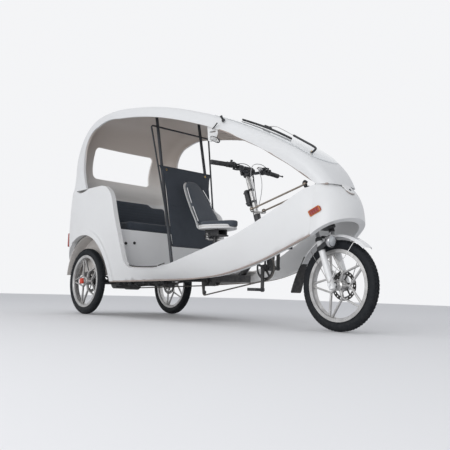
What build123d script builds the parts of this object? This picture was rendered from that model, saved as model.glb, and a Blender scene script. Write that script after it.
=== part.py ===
# Three-wheeled passenger pedal cycle: one rider in front of a partition,
# a two-place bench behind it, moulded hull and roof on a tube chassis.
# Each x is measured forward from the rear axle, each z up from the ground, y to the left.
import math
import os
from build123d import *

os.makedirs("parts", exist_ok=True)

# Wheels and where they stand
WHEELBASE = 2344
TRACK = 904
TYRE_R = 279
TYRE_W = 61
RIM_R = 221
RIM_W = 50
BEAD_R = 213
HUB_R = 34
HUB_W = 92
NODE_R = 103
ARMS = 5
AXLE_R = 8
DISC_R = 96
DISC_Y = 40

# Hull and roof
REAR_REACH = 322
BODY_HALF = 546
SKIN = 38
ROOF_SKIN = 20
REAR_SEAM = 1062
NOSE_SEAM = 890
NOSE_START = 2290
TAIL_END = -130
ARCH_X = 80
ARCH_Z = 290
ARCH_R = 372
ARCH_RIDGE = 46
ARCH_PROUD = 9
HOUSING_T = 6
FIT = 0.3
GLASS_T = 4
GLASS_GAP = 0.8
GLASS_OUT = GLASS_GAP + GLASS_T

# Steering: column and fork turn about parallel raked axes
RAKE = 20
COLUMN_X = 1619
COLUMN_Z = 734
FORK_OFFSET = 21
ARM_Y = 60
ARM_X = 21
ARM_T = 8
ROD_R = 6
EYE_R = 14
EYE_T = 12
PIN_R = 5
STEERER_R = 17
HEAD_R = 25
RUN = 0.05
COLUMN_EYE_H = 69
FORK_EYE_H = 688.5
LEG_Y = 78
LEG_R = 20
STANCHION_R = 14

# Rider and passenger places
CRANK_X = 1752
CRANK_Z = 392
CRANK_L = 150
RING_R = 88
CHAIN_Y = -52
CRANK_Y = 74
JACK_X = 1110
JACK_Z = 300
BENCH_X = 515
BENCH_Z = 697
FLOOR_Z = 392
FLOOR_T = 8
POST_Y = 225
POST_R = 12.5
WIRE_R = 5
POST_SLOPE = 0.239
SPINE_Z = 318
SPINE_H = 50
SPINE_W = 60
SPINE_START = 75
SEAT_POST_X = 1150
SEAT_POST_R = 19
AXLE_TUBE_R = 22

# The rear axle's place in the part's own frame, whose origin is under the middle
AX = -(WHEELBASE + TYRE_R - REAR_REACH) / 2
SIDE = Plane(origin=(AX, 0, 0), x_dir=(1, 0, 0), z_dir=(0, -1, 0))
PLAN = Plane(origin=(AX, 0, 0), x_dir=(1, 0, 0), z_dir=(0, 0, 1))
SIN_R = math.sin(math.radians(RAKE))
COS_R = math.cos(math.radians(RAKE))

# Turning axes: local x forward, local z up the axis
FORK = Plane(
    origin=(AX + WHEELBASE - FORK_OFFSET * COS_R, 0, TYRE_R - FORK_OFFSET * SIN_R),
    x_dir=(COS_R, 0, SIN_R),
    z_dir=(-SIN_R, 0, COS_R),
)
COLUMN = Plane(
    origin=(AX + COLUMN_X, 0, COLUMN_Z),
    x_dir=(COS_R, 0, SIN_R),
    z_dir=(-SIN_R, 0, COS_R),
)

# Door opening of both sides, as seen from the side
with BuildPart() as door_cut:
    with BuildSketch(SIDE):
        with BuildLine():
            ThreePointArc((NOSE_START, NOSE_SEAM), (1910, 1158), (1500, 1359))
            ThreePointArc((1500, 1359), (1000, 1510), (450, 1609))
            ThreePointArc((450, 1609), (270, 1628), (120, 1603))
            ThreePointArc((120, 1603), (-25, 1520), (-64, 1380))
            ThreePointArc((-64, 1380), (-35, 1210), (50, REAR_SEAM))
            Line((50, REAR_SEAM), (310, REAR_SEAM))
            ThreePointArc((310, REAR_SEAM), (460, 1020), (548, 915))
            Line((548, 915), (750, 500))
            ThreePointArc((750, 500), (795, 435), (870, 402))
            ThreePointArc((870, 402), (1060, 390), (1250, 420))
            ThreePointArc((1250, 420), (1500, 503), (1740, 598))
            ThreePointArc((1740, 598), (1990, 744), (2235, 882))
            Line((2235, 882), (NOSE_START, NOSE_SEAM))
        make_face()
    extrude(amount=700, both=True)

# Wheel arch ring that stands proud of the skin, cut through both sides
with BuildPart() as arch_ring:
    with BuildSketch(SIDE):
        with Locations((ARCH_X, ARCH_Z)):
            Circle(ARCH_R + ARCH_RIDGE)
            Circle(ARCH_R, mode=Mode.SUBTRACT)
    extrude(amount=700, both=True)

# One side of the hull from the tail to the nose, lofted through upright sections
# columns: x, top z, top half width, middle z, middle half width, low z, low half width
FLANK = [
    (TAIL_END, REAR_SEAM, 532, 660, BODY_HALF, 282, 517),
    (100, REAR_SEAM, 532, 660, BODY_HALF, 276, 516),
    (400, REAR_SEAM, 532, 660, BODY_HALF, 278, 498),
    (700, 800, 543, 520, 540, 285, 452),
    (1000, 520, 522, 410, 498, 295, 385),
    (1300, 470, 468, 395, 428, 305, 335),
    (1600, 580, 385, 465, 365, 337, 290),
    (1900, 740, 298, 590, 292, 421, 248),
    (2100, 860, 240, 690, 250, 500, 229),
    (NOSE_START, NOSE_SEAM, 164, 736, 206, 574, 219),
]
with BuildPart() as arch_band:
    for x, z_top, w_top, z_mid, w_mid, z_low, w_low in FLANK[:4]:
        with BuildSketch(Plane(origin=(AX + x, 0, 0), x_dir=(0, 1, 0), z_dir=(1, 0, 0))):
            with BuildLine():
                ThreePointArc(
                    (-w_top - ARCH_PROUD, z_top),
                    (-w_mid - ARCH_PROUD, z_mid),
                    (-w_low - ARCH_PROUD, z_low),
                )
                Line((-w_low - ARCH_PROUD, z_low), (SKIN / 2 - w_low, z_low))
                ThreePointArc(
                    (SKIN / 2 - w_low, z_low),
                    (SKIN / 2 - w_mid, z_mid),
                    (SKIN / 2 - w_top, z_top),
                )
                Line((SKIN / 2 - w_top, z_top), (-w_top - ARCH_PROUD, z_top))
            make_face()
    loft()
    add(arch_ring.part, mode=Mode.INTERSECT)

with BuildPart() as hull_side_right:
    for x, z_top, w_top, z_mid, w_mid, z_low, w_low in FLANK:
        with BuildSketch(Plane(origin=(AX + x, 0, 0), x_dir=(0, 1, 0), z_dir=(1, 0, 0))):
            with BuildLine():
                ThreePointArc((-w_top, z_top), (-w_mid, z_mid), (-w_low, z_low))
                Line((-w_low, z_low), (SKIN - w_low, z_low))
                ThreePointArc((SKIN - w_low, z_low), (SKIN - w_mid, z_mid), (SKIN - w_top, z_top))
                Line((SKIN - w_top, z_top), (-w_top, z_top))
            make_face()
    loft()
    add(door_cut.part, mode=Mode.SUBTRACT)
    with BuildSketch(SIDE):
        with Locations((ARCH_X, ARCH_Z)):
            Circle(ARCH_R)
    extrude(amount=700, mode=Mode.SUBTRACT)
    add(arch_band.part)
hull_side_right.part.label = "hull_side_right"
export_step(hull_side_right.part, "parts/hull_side_right.step")

with BuildPart() as hull_side_left:
    add(mirror(hull_side_right.part, about=Plane.XZ))
hull_side_left.part.label = "hull_side_left"
export_step(hull_side_left.part, "parts/hull_side_left.step")

# Tail panel, a U in plan that closes the hull behind the bench
# columns: z, rearmost x, half width, corner radius
TAIL = [
    (282, -300, 517, 150),
    (660, 1.8 - REAR_REACH, BODY_HALF, 168),
    (REAR_SEAM, -318, 532, 160),
]
with BuildPart() as hull_rear:
    for z, x_back, w, r in TAIL:
        inner_r = r - SKIN
        with BuildSketch(PLAN.offset(z)):
            with BuildLine():
                Line((TAIL_END, -w), (x_back + r, -w))
                RadiusArc((x_back + r, -w), (x_back, r - w), r)
                Line((x_back, r - w), (x_back, w - r))
                RadiusArc((x_back, w - r), (x_back + r, w), r)
                Line((x_back + r, w), (TAIL_END, w))
                Line((TAIL_END, w), (TAIL_END, w - SKIN))
                Line((TAIL_END, w - SKIN), (x_back + r, w - SKIN))
                RadiusArc((x_back + r, w - SKIN), (x_back + SKIN, w - r), -inner_r)
                Line((x_back + SKIN, w - r), (x_back + SKIN, r - w))
                RadiusArc((x_back + SKIN, r - w), (x_back + r, SKIN - w), -inner_r)
                Line((x_back + r, SKIN - w), (TAIL_END, SKIN - w))
                Line((TAIL_END, SKIN - w), (TAIL_END, -w))
            make_face()
    loft()
    with BuildSketch(SIDE):
        with Locations((ARCH_X, ARCH_Z)):
            Circle(ARCH_R)
    extrude(amount=700, both=True, mode=Mode.SUBTRACT)
    # the middle is cut higher than the arches so that the axle shows
    with BuildSketch(Plane(origin=(AX, 0, 0), x_dir=(0, 1, 0), z_dir=(1, 0, 0))):
        with Locations((0, 285)):
            SlotOverall(760, 140)
    extrude(amount=-500, mode=Mode.SUBTRACT)
hull_rear.part.label = "hull_rear"
export_step(hull_rear.part, "parts/hull_rear.step")

# Nose, a rounded U in plan over the front wheel
# columns: z, foremost x, half width
NOSE = [
    (574, 2470, 219),
    (650, 2474, 216),
    (736, 2470, 206),
    (820, 2440, 187),
    (NOSE_SEAM, 2372, 164),
]
with BuildPart() as hull_nose:
    for z, x_front, w in NOSE:
        d = x_front - NOSE_START
        with BuildSketch(PLAN.offset(z)):
            with BuildLine():
                ThreePointArc(
                    (NOSE_START, -w),
                    (NOSE_START + 0.62 * d, -0.785 * w),
                    (NOSE_START + 0.88 * d, -0.475 * w),
                )
                ThreePointArc(
                    (NOSE_START + 0.88 * d, -0.475 * w),
                    (x_front, 0),
                    (NOSE_START + 0.88 * d, 0.475 * w),
                )
                ThreePointArc(
                    (NOSE_START + 0.88 * d, 0.475 * w),
                    (NOSE_START + 0.62 * d, 0.785 * w),
                    (NOSE_START, w),
                )
                Line((NOSE_START, w), (NOSE_START, w - SKIN))
                ThreePointArc(
                    (NOSE_START, w - SKIN),
                    (NOSE_START + 0.62 * (d - SKIN), 0.785 * (w - SKIN)),
                    (NOSE_START + 0.88 * (d - SKIN), 0.475 * (w - SKIN)),
                )
                ThreePointArc(
                    (NOSE_START + 0.88 * (d - SKIN), 0.475 * (w - SKIN)),
                    (x_front - SKIN, 0),
                    (NOSE_START + 0.88 * (d - SKIN), -0.475 * (w - SKIN)),
                )
                ThreePointArc(
                    (NOSE_START + 0.88 * (d - SKIN), -0.475 * (w - SKIN)),
                    (NOSE_START + 0.62 * (d - SKIN), -0.785 * (w - SKIN)),
                    (NOSE_START, SKIN - w),
                )
                Line((NOSE_START, SKIN - w), (NOSE_START, -w))
            make_face()
    loft()
    # the lower rim climbs towards the front
    with BuildSketch(SIDE):
        with BuildLine():
            ThreePointArc((NOSE_START, NOSE[0][0]), (2395, 642), (2500, 692))
            Line((2500, 692), (2500, 500))
            Line((2500, 500), (NOSE_START, 500))
            Line((NOSE_START, 500), (NOSE_START, NOSE[0][0]))
        make_face()
    extrude(amount=400, both=True, mode=Mode.SUBTRACT)
hull_nose.part.label = "hull_nose"
export_step(hull_nose.part, "parts/hull_nose.step")

# Roof: sections square to a spine that climbs the tail, runs over the top and down the nose
# columns: x, z, angle of travel in degrees, half width, shoulder radius, crown rise, leg depth
ROOF = [
    (-318, REAR_SEAM, 90, 532, 160, 20, 388),
    (-303, 1300, 82, 517, 145, 25, 290),
    (-235, 1530, 63, 504, 125, 28, 230),
    (-70, 1690, 28, 496, 110, 30, 200),
    (180, 1746, 2, 491, 100, 30, 190),
    (600, 1706, -10, 488, 95, 28, 200),
    (1077, 1602, -16, 478, 90, 24, 210),
    (1510, 1458, -23, 398, 84, 20, 220),
    (1900, 1282, -29, 288, 76, 16, 220),
    (2150, 1138, -36, 222, 74, 16, 200),
    (2300, 1015, -45, 182, 76, 20, 180),
    (2400, 860, -62, 156, 80, 26, 150),
]
WIPER_OUT = 22
roof_form = {}
for grow in (-ROOF_SKIN - FIT, -ROOF_SKIN, 0, GLASS_GAP, GLASS_OUT, GLASS_OUT + FIT, WIPER_OUT):
    with BuildPart() as form:
        for x, z, angle, w, r, rise, leg in ROOF:
            travel = (math.cos(math.radians(angle)), 0, math.sin(math.radians(angle)))
            with BuildSketch(Plane(origin=(AX + x, 0, z), x_dir=(0, 1, 0), z_dir=travel)):
                with BuildLine():
                    ThreePointArc((-w - grow, grow - rise), (0, grow), (w + grow, grow - rise))
                    Line((w + grow, grow - rise), (w + grow, grow - leg))
                    Line((w + grow, grow - leg), (-w - grow, grow - leg))
                    Line((-w - grow, grow - leg), (-w - grow, grow - rise))
                face = make_face()
                fillet(face.vertices().group_by(Axis.Y)[-1], r + grow)
        loft()
    roof_form[grow] = form.part

# What lies below the seams belongs to the hull
with BuildPart() as below_seam:
    with BuildSketch(SIDE):
        with BuildLine():
            Polyline(
                (-600, 0),
                (-600, REAR_SEAM),
                (700, REAR_SEAM),
                (700, NOSE_SEAM),
                (2800, NOSE_SEAM),
                (2800, 0),
                close=True,
            )
        make_face()
    extrude(amount=700, both=True)

# Outline of the windscreen in plan, and of the hole under it
GLASS_TOP = 1440
GLASS_W = 325
GLASS_LIP = 20
with BuildPart() as glass_prism:
    with BuildSketch(PLAN.offset(1000)):
        with BuildLine():
            Line((GLASS_TOP, GLASS_W), (2000, 205))
            ThreePointArc((2000, 205), (2150, 160), (2235, 110))
            ThreePointArc((2235, 110), (2262, 0), (2235, -110))
            ThreePointArc((2235, -110), (2150, -160), (2000, -205))
            Line((2000, -205), (GLASS_TOP, -GLASS_W))
            Line((GLASS_TOP, -GLASS_W), (GLASS_TOP, GLASS_W))
        face = make_face()
        fillet(face.vertices().group_by(Axis.X)[0], 60)
    extrude(amount=700)
with BuildPart() as glass_hole:
    with BuildSketch(PLAN.offset(1000)):
        with BuildLine():
            Line((GLASS_TOP, GLASS_W), (2000, 205))
            ThreePointArc((2000, 205), (2150, 160), (2235, 110))
            ThreePointArc((2235, 110), (2262, 0), (2235, -110))
            ThreePointArc((2235, -110), (2150, -160), (2000, -205))
            Line((2000, -205), (GLASS_TOP, -GLASS_W))
            Line((GLASS_TOP, -GLASS_W), (GLASS_TOP, GLASS_W))
        face = make_face()
        fillet(face.vertices().group_by(Axis.X)[0], 60)
        offset(amount=-GLASS_LIP, mode=Mode.REPLACE)
    extrude(amount=700)

with BuildPart() as roof_shell:
    add(roof_form[0])
    add(roof_form[-ROOF_SKIN], mode=Mode.SUBTRACT)
    add(door_cut.part, mode=Mode.SUBTRACT)
    add(below_seam.part, mode=Mode.SUBTRACT)
    add(glass_hole.part, mode=Mode.SUBTRACT)
    # rear window
    with BuildSketch(Plane(origin=(AX - 600, 0, 0), x_dir=(0, 1, 0), z_dir=(1, 0, 0))):
        with BuildLine():
            Polyline((-309, 1229), (309, 1229), (318, 1519), (-318, 1519), close=True)
        face = make_face()
        fillet(face.vertices(), 42)
    extrude(amount=700, mode=Mode.SUBTRACT)
roof_shell.part.label = "roof_shell"
export_step(roof_shell.part, "parts/roof_shell.step")

with BuildPart() as windscreen:
    add(roof_form[GLASS_OUT])
    add(roof_form[GLASS_GAP], mode=Mode.SUBTRACT)
    add(glass_prism.part, mode=Mode.INTERSECT)
windscreen.part.label = "windscreen"
export_step(windscreen.part, "parts/windscreen.step")

# Wiper on the windscreen: blade, arm and pivot, standing on the glass
WIPER_Y = -90
with BuildPart() as wiper:
    with BuildSketch(PLAN.offset(1000)):
        with Locations((1770, WIPER_Y)):
            Rectangle(500, 10)
    extrude(amount=700)
    add(roof_form[WIPER_OUT], mode=Mode.INTERSECT)
    with BuildLine():
        arm = FilletPolyline(
            (AX + 1800, WIPER_Y, 1352),
            (AX + 1900, WIPER_Y, 1330),
            (AX + 2215, WIPER_Y, 1142),
            (AX + 2180, WIPER_Y, 1110),
            radius=14,
        )
    with BuildSketch(Plane(origin=arm @ 0, z_dir=arm % 0)):
        Circle(5)
    sweep()
    add(roof_form[GLASS_OUT + FIT], mode=Mode.SUBTRACT)
wiper.part.label = "wiper"
export_step(wiper.part, "parts/wiper.step")

# Wheel housings between hull and bench, open below and outwards
HOUSING_IN = 395
HOUSING_OUT = 500
HOUSING_FOOT = 330
FRONT_HALF = 488
with BuildPart() as wheel_housings:
    for side in (-1, 1):
        with BuildSketch(SIDE.offset(side * HOUSING_IN)):
            with Locations((ARCH_X, ARCH_Z)):
                Circle(ARCH_R - FIT)
            with Locations((ARCH_X, HOUSING_FOOT - 500)):
                Rectangle(900, 1000, mode=Mode.SUBTRACT)
        extrude(amount=side * (HOUSING_OUT - HOUSING_IN))
        with BuildSketch(SIDE.offset(side * (HOUSING_IN + HOUSING_T))):
            with Locations((ARCH_X, ARCH_Z)):
                Circle(ARCH_R - FIT - HOUSING_T)
        extrude(amount=side * (HOUSING_OUT - HOUSING_IN), mode=Mode.SUBTRACT)
    with BuildSketch(SIDE.offset(-FRONT_HALF)):
        with Locations((0, TYRE_R)):
            Circle(AXLE_TUBE_R + 18)
            with Locations((-84, 44)):
                Circle(46)
    extrude(amount=2 * FRONT_HALF, mode=Mode.SUBTRACT)
wheel_housings.part.label = "wheel_housings"
export_step(wheel_housings.part, "parts/wheel_housings.step")

# Floor of cabin and footwell
with BuildPart() as floor_pan:
    with BuildSketch(PLAN.offset(FLOOR_Z - FLOOR_T)):
        with BuildLine():
            Polyline(
                (-270, -380),
                (470, -380),
                (470, -480),
                (760, -480),
                (1000, -455),
                (1180, -420),
                (1180, 420),
                (1000, 455),
                (760, 480),
                (470, 480),
                (470, 380),
                (-270, 380),
                close=True,
            )
        make_face()
        with Locations((SEAT_POST_X, 0)):
            Circle(SEAT_POST_R + 2, mode=Mode.SUBTRACT)
    extrude(amount=FLOOR_T)
    add(hull_side_right.part, mode=Mode.SUBTRACT)
    add(hull_side_left.part, mode=Mode.SUBTRACT)
floor_pan.part.label = "floor_pan"
export_step(floor_pan.part, "parts/floor_pan.step")

MAT_T = 5
with BuildPart() as floor_mat:
    with BuildSketch(PLAN.offset(FLOOR_Z + FIT)):
        with Locations((BENCH_X + 155, 0)):
            RectangleRounded(290, 900, 30)
    extrude(amount=MAT_T)
floor_mat.part.label = "floor_mat"
export_step(floor_mat.part, "parts/floor_mat.step")

# Bench: hollow box with a front panel, a lid and a raked board behind the backrest
BENCH_T = 14
BENCH_HALF = 392
BENCH_BACK_X = -150
CUSHION_T = 56
BACK_T = 84
BACK_TILT = 14
BACK_FOOT_X = -6
BACK_TALL = 272
BACK_PLANE = Plane(
    origin=(AX + BACK_FOOT_X, 0, BENCH_Z + CUSHION_T + 2),
    x_dir=(0, 1, 0),
    z_dir=(math.cos(math.radians(BACK_TILT)), 0, math.sin(math.radians(BACK_TILT))),
)
BENCH_MID = (BENCH_X + BENCH_BACK_X) / 2
BENCH_LONG = BENCH_X - BENCH_BACK_X
with BuildPart() as bench_box:
    with BuildSketch(PLAN.offset(FLOOR_Z)):
        with Locations((BENCH_X - BENCH_T / 2, 0)):
            Rectangle(BENCH_T, 2 * FRONT_HALF)
        for side in (-1, 1):
            with Locations((BENCH_MID, side * (BENCH_HALF - BENCH_T / 2))):
                Rectangle(BENCH_LONG, BENCH_T)
    extrude(amount=BENCH_Z - FLOOR_Z)
    with BuildSketch(PLAN.offset(BENCH_Z - BENCH_T)):
        with Locations((BENCH_MID, 0)):
            Rectangle(BENCH_LONG, 2 * BENCH_HALF)
        with Locations((BENCH_X - 20, 0)):
            Rectangle(40, 2 * FRONT_HALF)
    extrude(amount=BENCH_T)
    with BuildSketch(BACK_PLANE.offset(-BACK_T - FIT)):
        with Locations((0, BACK_TALL / 2 - 30)):
            Rectangle(2 * BENCH_HALF - 20, BACK_TALL + 20)
    extrude(amount=-BENCH_T)
    add(hull_side_right.part, mode=Mode.SUBTRACT)
    add(hull_side_left.part, mode=Mode.SUBTRACT)
bench_box.part.label = "bench_box"
export_step(bench_box.part, "parts/bench_box.step")


# Seat cushion and backrest of the bench
with BuildPart() as bench_cushion:
    with BuildSketch(PLAN.offset(BENCH_Z + FIT)):
        with Locations((BENCH_X - 256, 0)):
            RectangleRounded(516, 2 * BENCH_HALF - 12, 30)
    extrude(amount=CUSHION_T)
    fillet(bench_cushion.edges().group_by(Axis.Z)[-1], 16)
bench_cushion.part.label = "bench_cushion"
export_step(bench_cushion.part, "parts/bench_cushion.step")

with BuildPart() as bench_back:
    with BuildSketch(BACK_PLANE):
        with BuildLine():
            Line((-385, 0), (-385, 190))
            ThreePointArc((-385, 190), (-372, 226), (-335, 240))
            Line((-335, 240), (-215, 240))
            Line((-215, 240), (-185, 272))
            Line((-185, 272), (185, 272))
            Line((185, 272), (215, 240))
            Line((215, 240), (335, 240))
            ThreePointArc((335, 240), (372, 226), (385, 190))
            Line((385, 190), (385, 0))
            Line((385, 0), (-385, 0))
        make_face()
    extrude(amount=-BACK_T)
bench_back.part.label = "bench_back"
export_step(bench_back.part, "parts/bench_back.step")

# Partition: two raked posts from floor to roof and a rod frame in front of them
POST_FOOT_X = 622 + (1629 - FLOOR_Z) * POST_SLOPE
POST_ANGLE = math.atan(POST_SLOPE)
POST_PLANE = Plane(
    origin=(AX + POST_FOOT_X, 0, FLOOR_Z),
    x_dir=(0, 1, 0),
    z_dir=(math.cos(POST_ANGLE), 0, math.sin(POST_ANGLE)),
)
POST_UP = (-math.sin(POST_ANGLE), 0, math.cos(POST_ANGLE))
WIRE_OUT = POST_R + WIRE_R - 1
POST_L = 1330
with BuildPart() as roof_band:
    add(roof_form[0])
    add(roof_form[-ROOF_SKIN - FIT], mode=Mode.SUBTRACT)
with BuildPart() as partition_frame:
    for side in (-1, 1):
        with BuildSketch(Plane(origin=(AX + POST_FOOT_X, side * POST_Y, FLOOR_Z), x_dir=(0, 1, 0), z_dir=POST_UP)):
            Circle(POST_R)
        extrude(amount=POST_L)
    add(roof_band.part, mode=Mode.SUBTRACT)
    # the feet end level on the floor
    with BuildSketch(PLAN.offset(FLOOR_Z + FIT)):
        with Locations((POST_FOOT_X, 0)):
            Rectangle(8 * POST_R, 3 * POST_Y)
    extrude(amount=-2 * POST_R, mode=Mode.SUBTRACT)
    with BuildSketch(POST_PLANE.offset(WIRE_OUT)):
        with BuildLine():
            Polyline((-308, 1195), (308, 1195), (225, 168), (-225, 168), close=True)
        face = make_face()
        fillet(face.vertices(), 24)
        offset(amount=-2 * WIRE_R, mode=Mode.SUBTRACT)
    extrude(amount=WIRE_R, both=True)
partition_frame.part.label = "partition_frame"
export_step(partition_frame.part, "parts/partition_frame.step")

CURTAIN_T = 4
with BuildPart() as curtain:
    with BuildSketch(POST_PLANE.offset(WIRE_OUT + WIRE_R + FIT)):
        with BuildLine():
            Polyline((-272, 832), (272, 832), (228, 162), (-228, 162), close=True)
        make_face()
    extrude(amount=CURTAIN_T)
curtain.part.label = "curtain"
export_step(curtain.part, "parts/curtain.step")

# Rider's seat: moulded white shell with a dark pad over it
SEAT_TILT = 30
SEAT_T = 38
SHELL_T = 12
SEAT_BACK = Plane(
    origin=(AX + 1095, 0, 712),
    x_dir=(0, 1, 0),
    z_dir=(math.cos(math.radians(SEAT_TILT)), 0, math.sin(math.radians(SEAT_TILT))),
)
SEAT_BASE = PLAN.offset(706)
PAD_FOOT = 16
with BuildPart() as rider_pad:
    with BuildSketch(SEAT_BACK):
        with BuildLine():
            Line((-128, PAD_FOOT), (-122, 150))
            ThreePointArc((-122, 150), (-100, 320), (-62, 450))
            ThreePointArc((-62, 450), (0, 482), (62, 450))
            ThreePointArc((62, 450), (100, 320), (122, 150))
            Line((122, 150), (128, PAD_FOOT))
            Line((128, PAD_FOOT), (-128, PAD_FOOT))
        make_face()
    extrude(amount=-SEAT_T)
    with BuildSketch(SEAT_BASE):
        with BuildLine():
            Line((1060, -136), (1150, -140))
            ThreePointArc((1150, -140), (1265, -104), (1345, -56))
            ThreePointArc((1345, -56), (1400, 0), (1345, 56))
            ThreePointArc((1345, 56), (1265, 104), (1150, 140))
            Line((1150, 140), (1060, 136))
            Line((1060, 136), (1060, -136))
        make_face()
    extrude(amount=SEAT_T)
rider_pad.part.label = "rider_pad"
export_step(rider_pad.part, "parts/rider_pad.step")

with BuildPart() as rider_shell:
    with BuildSketch(SEAT_BACK.offset(-SEAT_T - FIT)):
        with BuildLine():
            Line((-146, 2), (-140, 150))
            ThreePointArc((-140, 150), (-114, 320), (-74, 455))
            ThreePointArc((-74, 455), (0, 494), (74, 455))
            ThreePointArc((74, 455), (114, 320), (140, 150))
            Line((140, 150), (146, 2))
            Line((146, 2), (-146, 2))
        make_face()
    extrude(amount=-SHELL_T)
    with BuildSketch(SEAT_BASE.offset(-FIT)):
        with BuildLine():
            Line((1040, -146), (1150, -152))
            ThreePointArc((1150, -152), (1265, -116), (1330, -66))
            ThreePointArc((1330, -66), (1368, 0), (1330, 66))
            ThreePointArc((1330, 66), (1265, 116), (1150, 152))
            Line((1150, 152), (1040, 146))
            Line((1040, 146), (1040, -146))
        make_face()
    extrude(amount=-SHELL_T)
rider_shell.part.label = "rider_shell"
export_step(rider_shell.part, "parts/rider_shell.step")

# Chassis: spine, riser, upper tube, head tubes, cabin rails and crank shell
RAIL_Y = 230
RAIL_W = 30
RAIL_TOP = FLOOR_Z - FLOOR_T
RAIL_H = 40
SPINE_END = 1527
COLUMN_TUBE_LOW = -170
COLUMN_TUBE_TOP = 40
HEAD_LOW = 430
HEAD_TOP = 640
UPPER_R = 24
BB_R = 21
BB_HALF = 34
with BuildPart() as chassis_frame:
    # spine under the floor
    with BuildSketch(PLAN.offset(SPINE_Z - SPINE_H / 2)):
        with Locations(((SPINE_START + SPINE_END) / 2, 0)):
            Rectangle(SPINE_END - SPINE_START, SPINE_W)
    extrude(amount=SPINE_H)
    # rails and cross members under the floor
    with BuildSketch(PLAN.offset(RAIL_TOP - RAIL_H)):
        for side in (-1, 1):
            with Locations((420, side * RAIL_Y)):
                Rectangle(1160, RAIL_W)
        for x in (-140, 300, 690, 980):
            with Locations((x, 0)):
                Rectangle(RAIL_W, 2 * RAIL_Y)
    extrude(amount=RAIL_H)
    with BuildSketch(PLAN.offset(SPINE_Z)):
        with Locations((SEAT_POST_X, 0), (980, 0), (690, 0), (300, 0)):
            Rectangle(RAIL_W, 40)
    extrude(amount=RAIL_TOP - SPINE_Z)
    # axle hangers
    with BuildSketch(PLAN.offset(TYRE_R)):
        for side in (-1, 1):
            with Locations((0, side * RAIL_Y)):
                Rectangle(70, 12)
    extrude(amount=RAIL_TOP - TYRE_R)
    with BuildSketch(SIDE.offset(-2 * RAIL_Y)):
        with Locations((0, TYRE_R)):
            Circle(AXLE_TUBE_R)
    extrude(amount=4 * RAIL_Y, mode=Mode.SUBTRACT)
    # seat post
    with BuildSketch(PLAN.offset(SPINE_Z)):
        with Locations((SEAT_POST_X, 0)):
            Circle(SEAT_POST_R)
    extrude(amount=640 - SPINE_Z)
    # riser and upper tube
    with BuildLine():
        riser = FilletPolyline(
            (AX + 1440, 0, SPINE_Z),
            (AX + 1682, 0, 575),
            (AX + 2130, 0, 752),
            radius=90,
        )
    with BuildSketch(Plane(origin=riser @ 0, z_dir=riser % 0)):
        Circle(UPPER_R)
    sweep()
    # column tube and head tube
    with BuildSketch(COLUMN.offset(COLUMN_TUBE_LOW)):
        Circle(HEAD_R)
    extrude(amount=COLUMN_TUBE_TOP - COLUMN_TUBE_LOW)
    with BuildSketch(FORK.offset(HEAD_LOW)):
        Circle(HEAD_R)
    extrude(amount=HEAD_TOP - HEAD_LOW)
    # crank shell and its hanger
    with BuildSketch(SIDE.offset(-BB_HALF)):
        with Locations((CRANK_X, CRANK_Z)):
            Circle(BB_R)
    extrude(amount=2 * BB_HALF)
    with BuildSketch(SIDE.offset(-15)):
        with BuildLine():
            Polyline(
                (CRANK_X - 18, CRANK_Z),
                (CRANK_X - 40, 600),
                (CRANK_X + 40, 620),
                (CRANK_X + 18, CRANK_Z),
                close=True,
            )
        make_face()
    extrude(amount=30)
    with BuildSketch(COLUMN.offset(COLUMN_TUBE_LOW)):
        Circle(STEERER_R + RUN)
    extrude(amount=COLUMN_TUBE_TOP - COLUMN_TUBE_LOW, mode=Mode.SUBTRACT)
    with BuildSketch(FORK.offset(HEAD_LOW)):
        Circle(STEERER_R + RUN)
    extrude(amount=HEAD_TOP - HEAD_LOW, mode=Mode.SUBTRACT)
    with BuildSketch(SIDE.offset(-BB_HALF)):
        with Locations((CRANK_X, CRANK_Z)):
            Circle(11 + RUN)
    extrude(amount=2 * BB_HALF, mode=Mode.SUBTRACT)
    # hanger and bore of the jackshaft
    with BuildSketch(PLAN.offset(JACK_Z - 38)):
        with Locations((JACK_X, 0)):
            Rectangle(54, SPINE_W)
    extrude(amount=60)
    with BuildSketch(SIDE.offset(-SPINE_W)):
        with Locations((JACK_X, JACK_Z)):
            Circle(8 + RUN)
    extrude(amount=2 * SPINE_W, mode=Mode.SUBTRACT)
    # cradle under the rider's seat
    with BuildSketch(PLAN.offset(640)):
        with Locations((SEAT_POST_X + 10, 0)):
            RectangleRounded(180, 110, 12)
    extrude(amount=10)
    with BuildSketch(PLAN.offset(650)):
        for side in (-1, 1):
            with Locations((SEAT_POST_X + 10, side * 42)):
                Rectangle(150, 12)
    extrude(amount=706 - SHELL_T - 2 * FIT - 650)
chassis_frame.part.label = "chassis_frame"
export_step(chassis_frame.part, "parts/chassis_frame.step")

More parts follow.
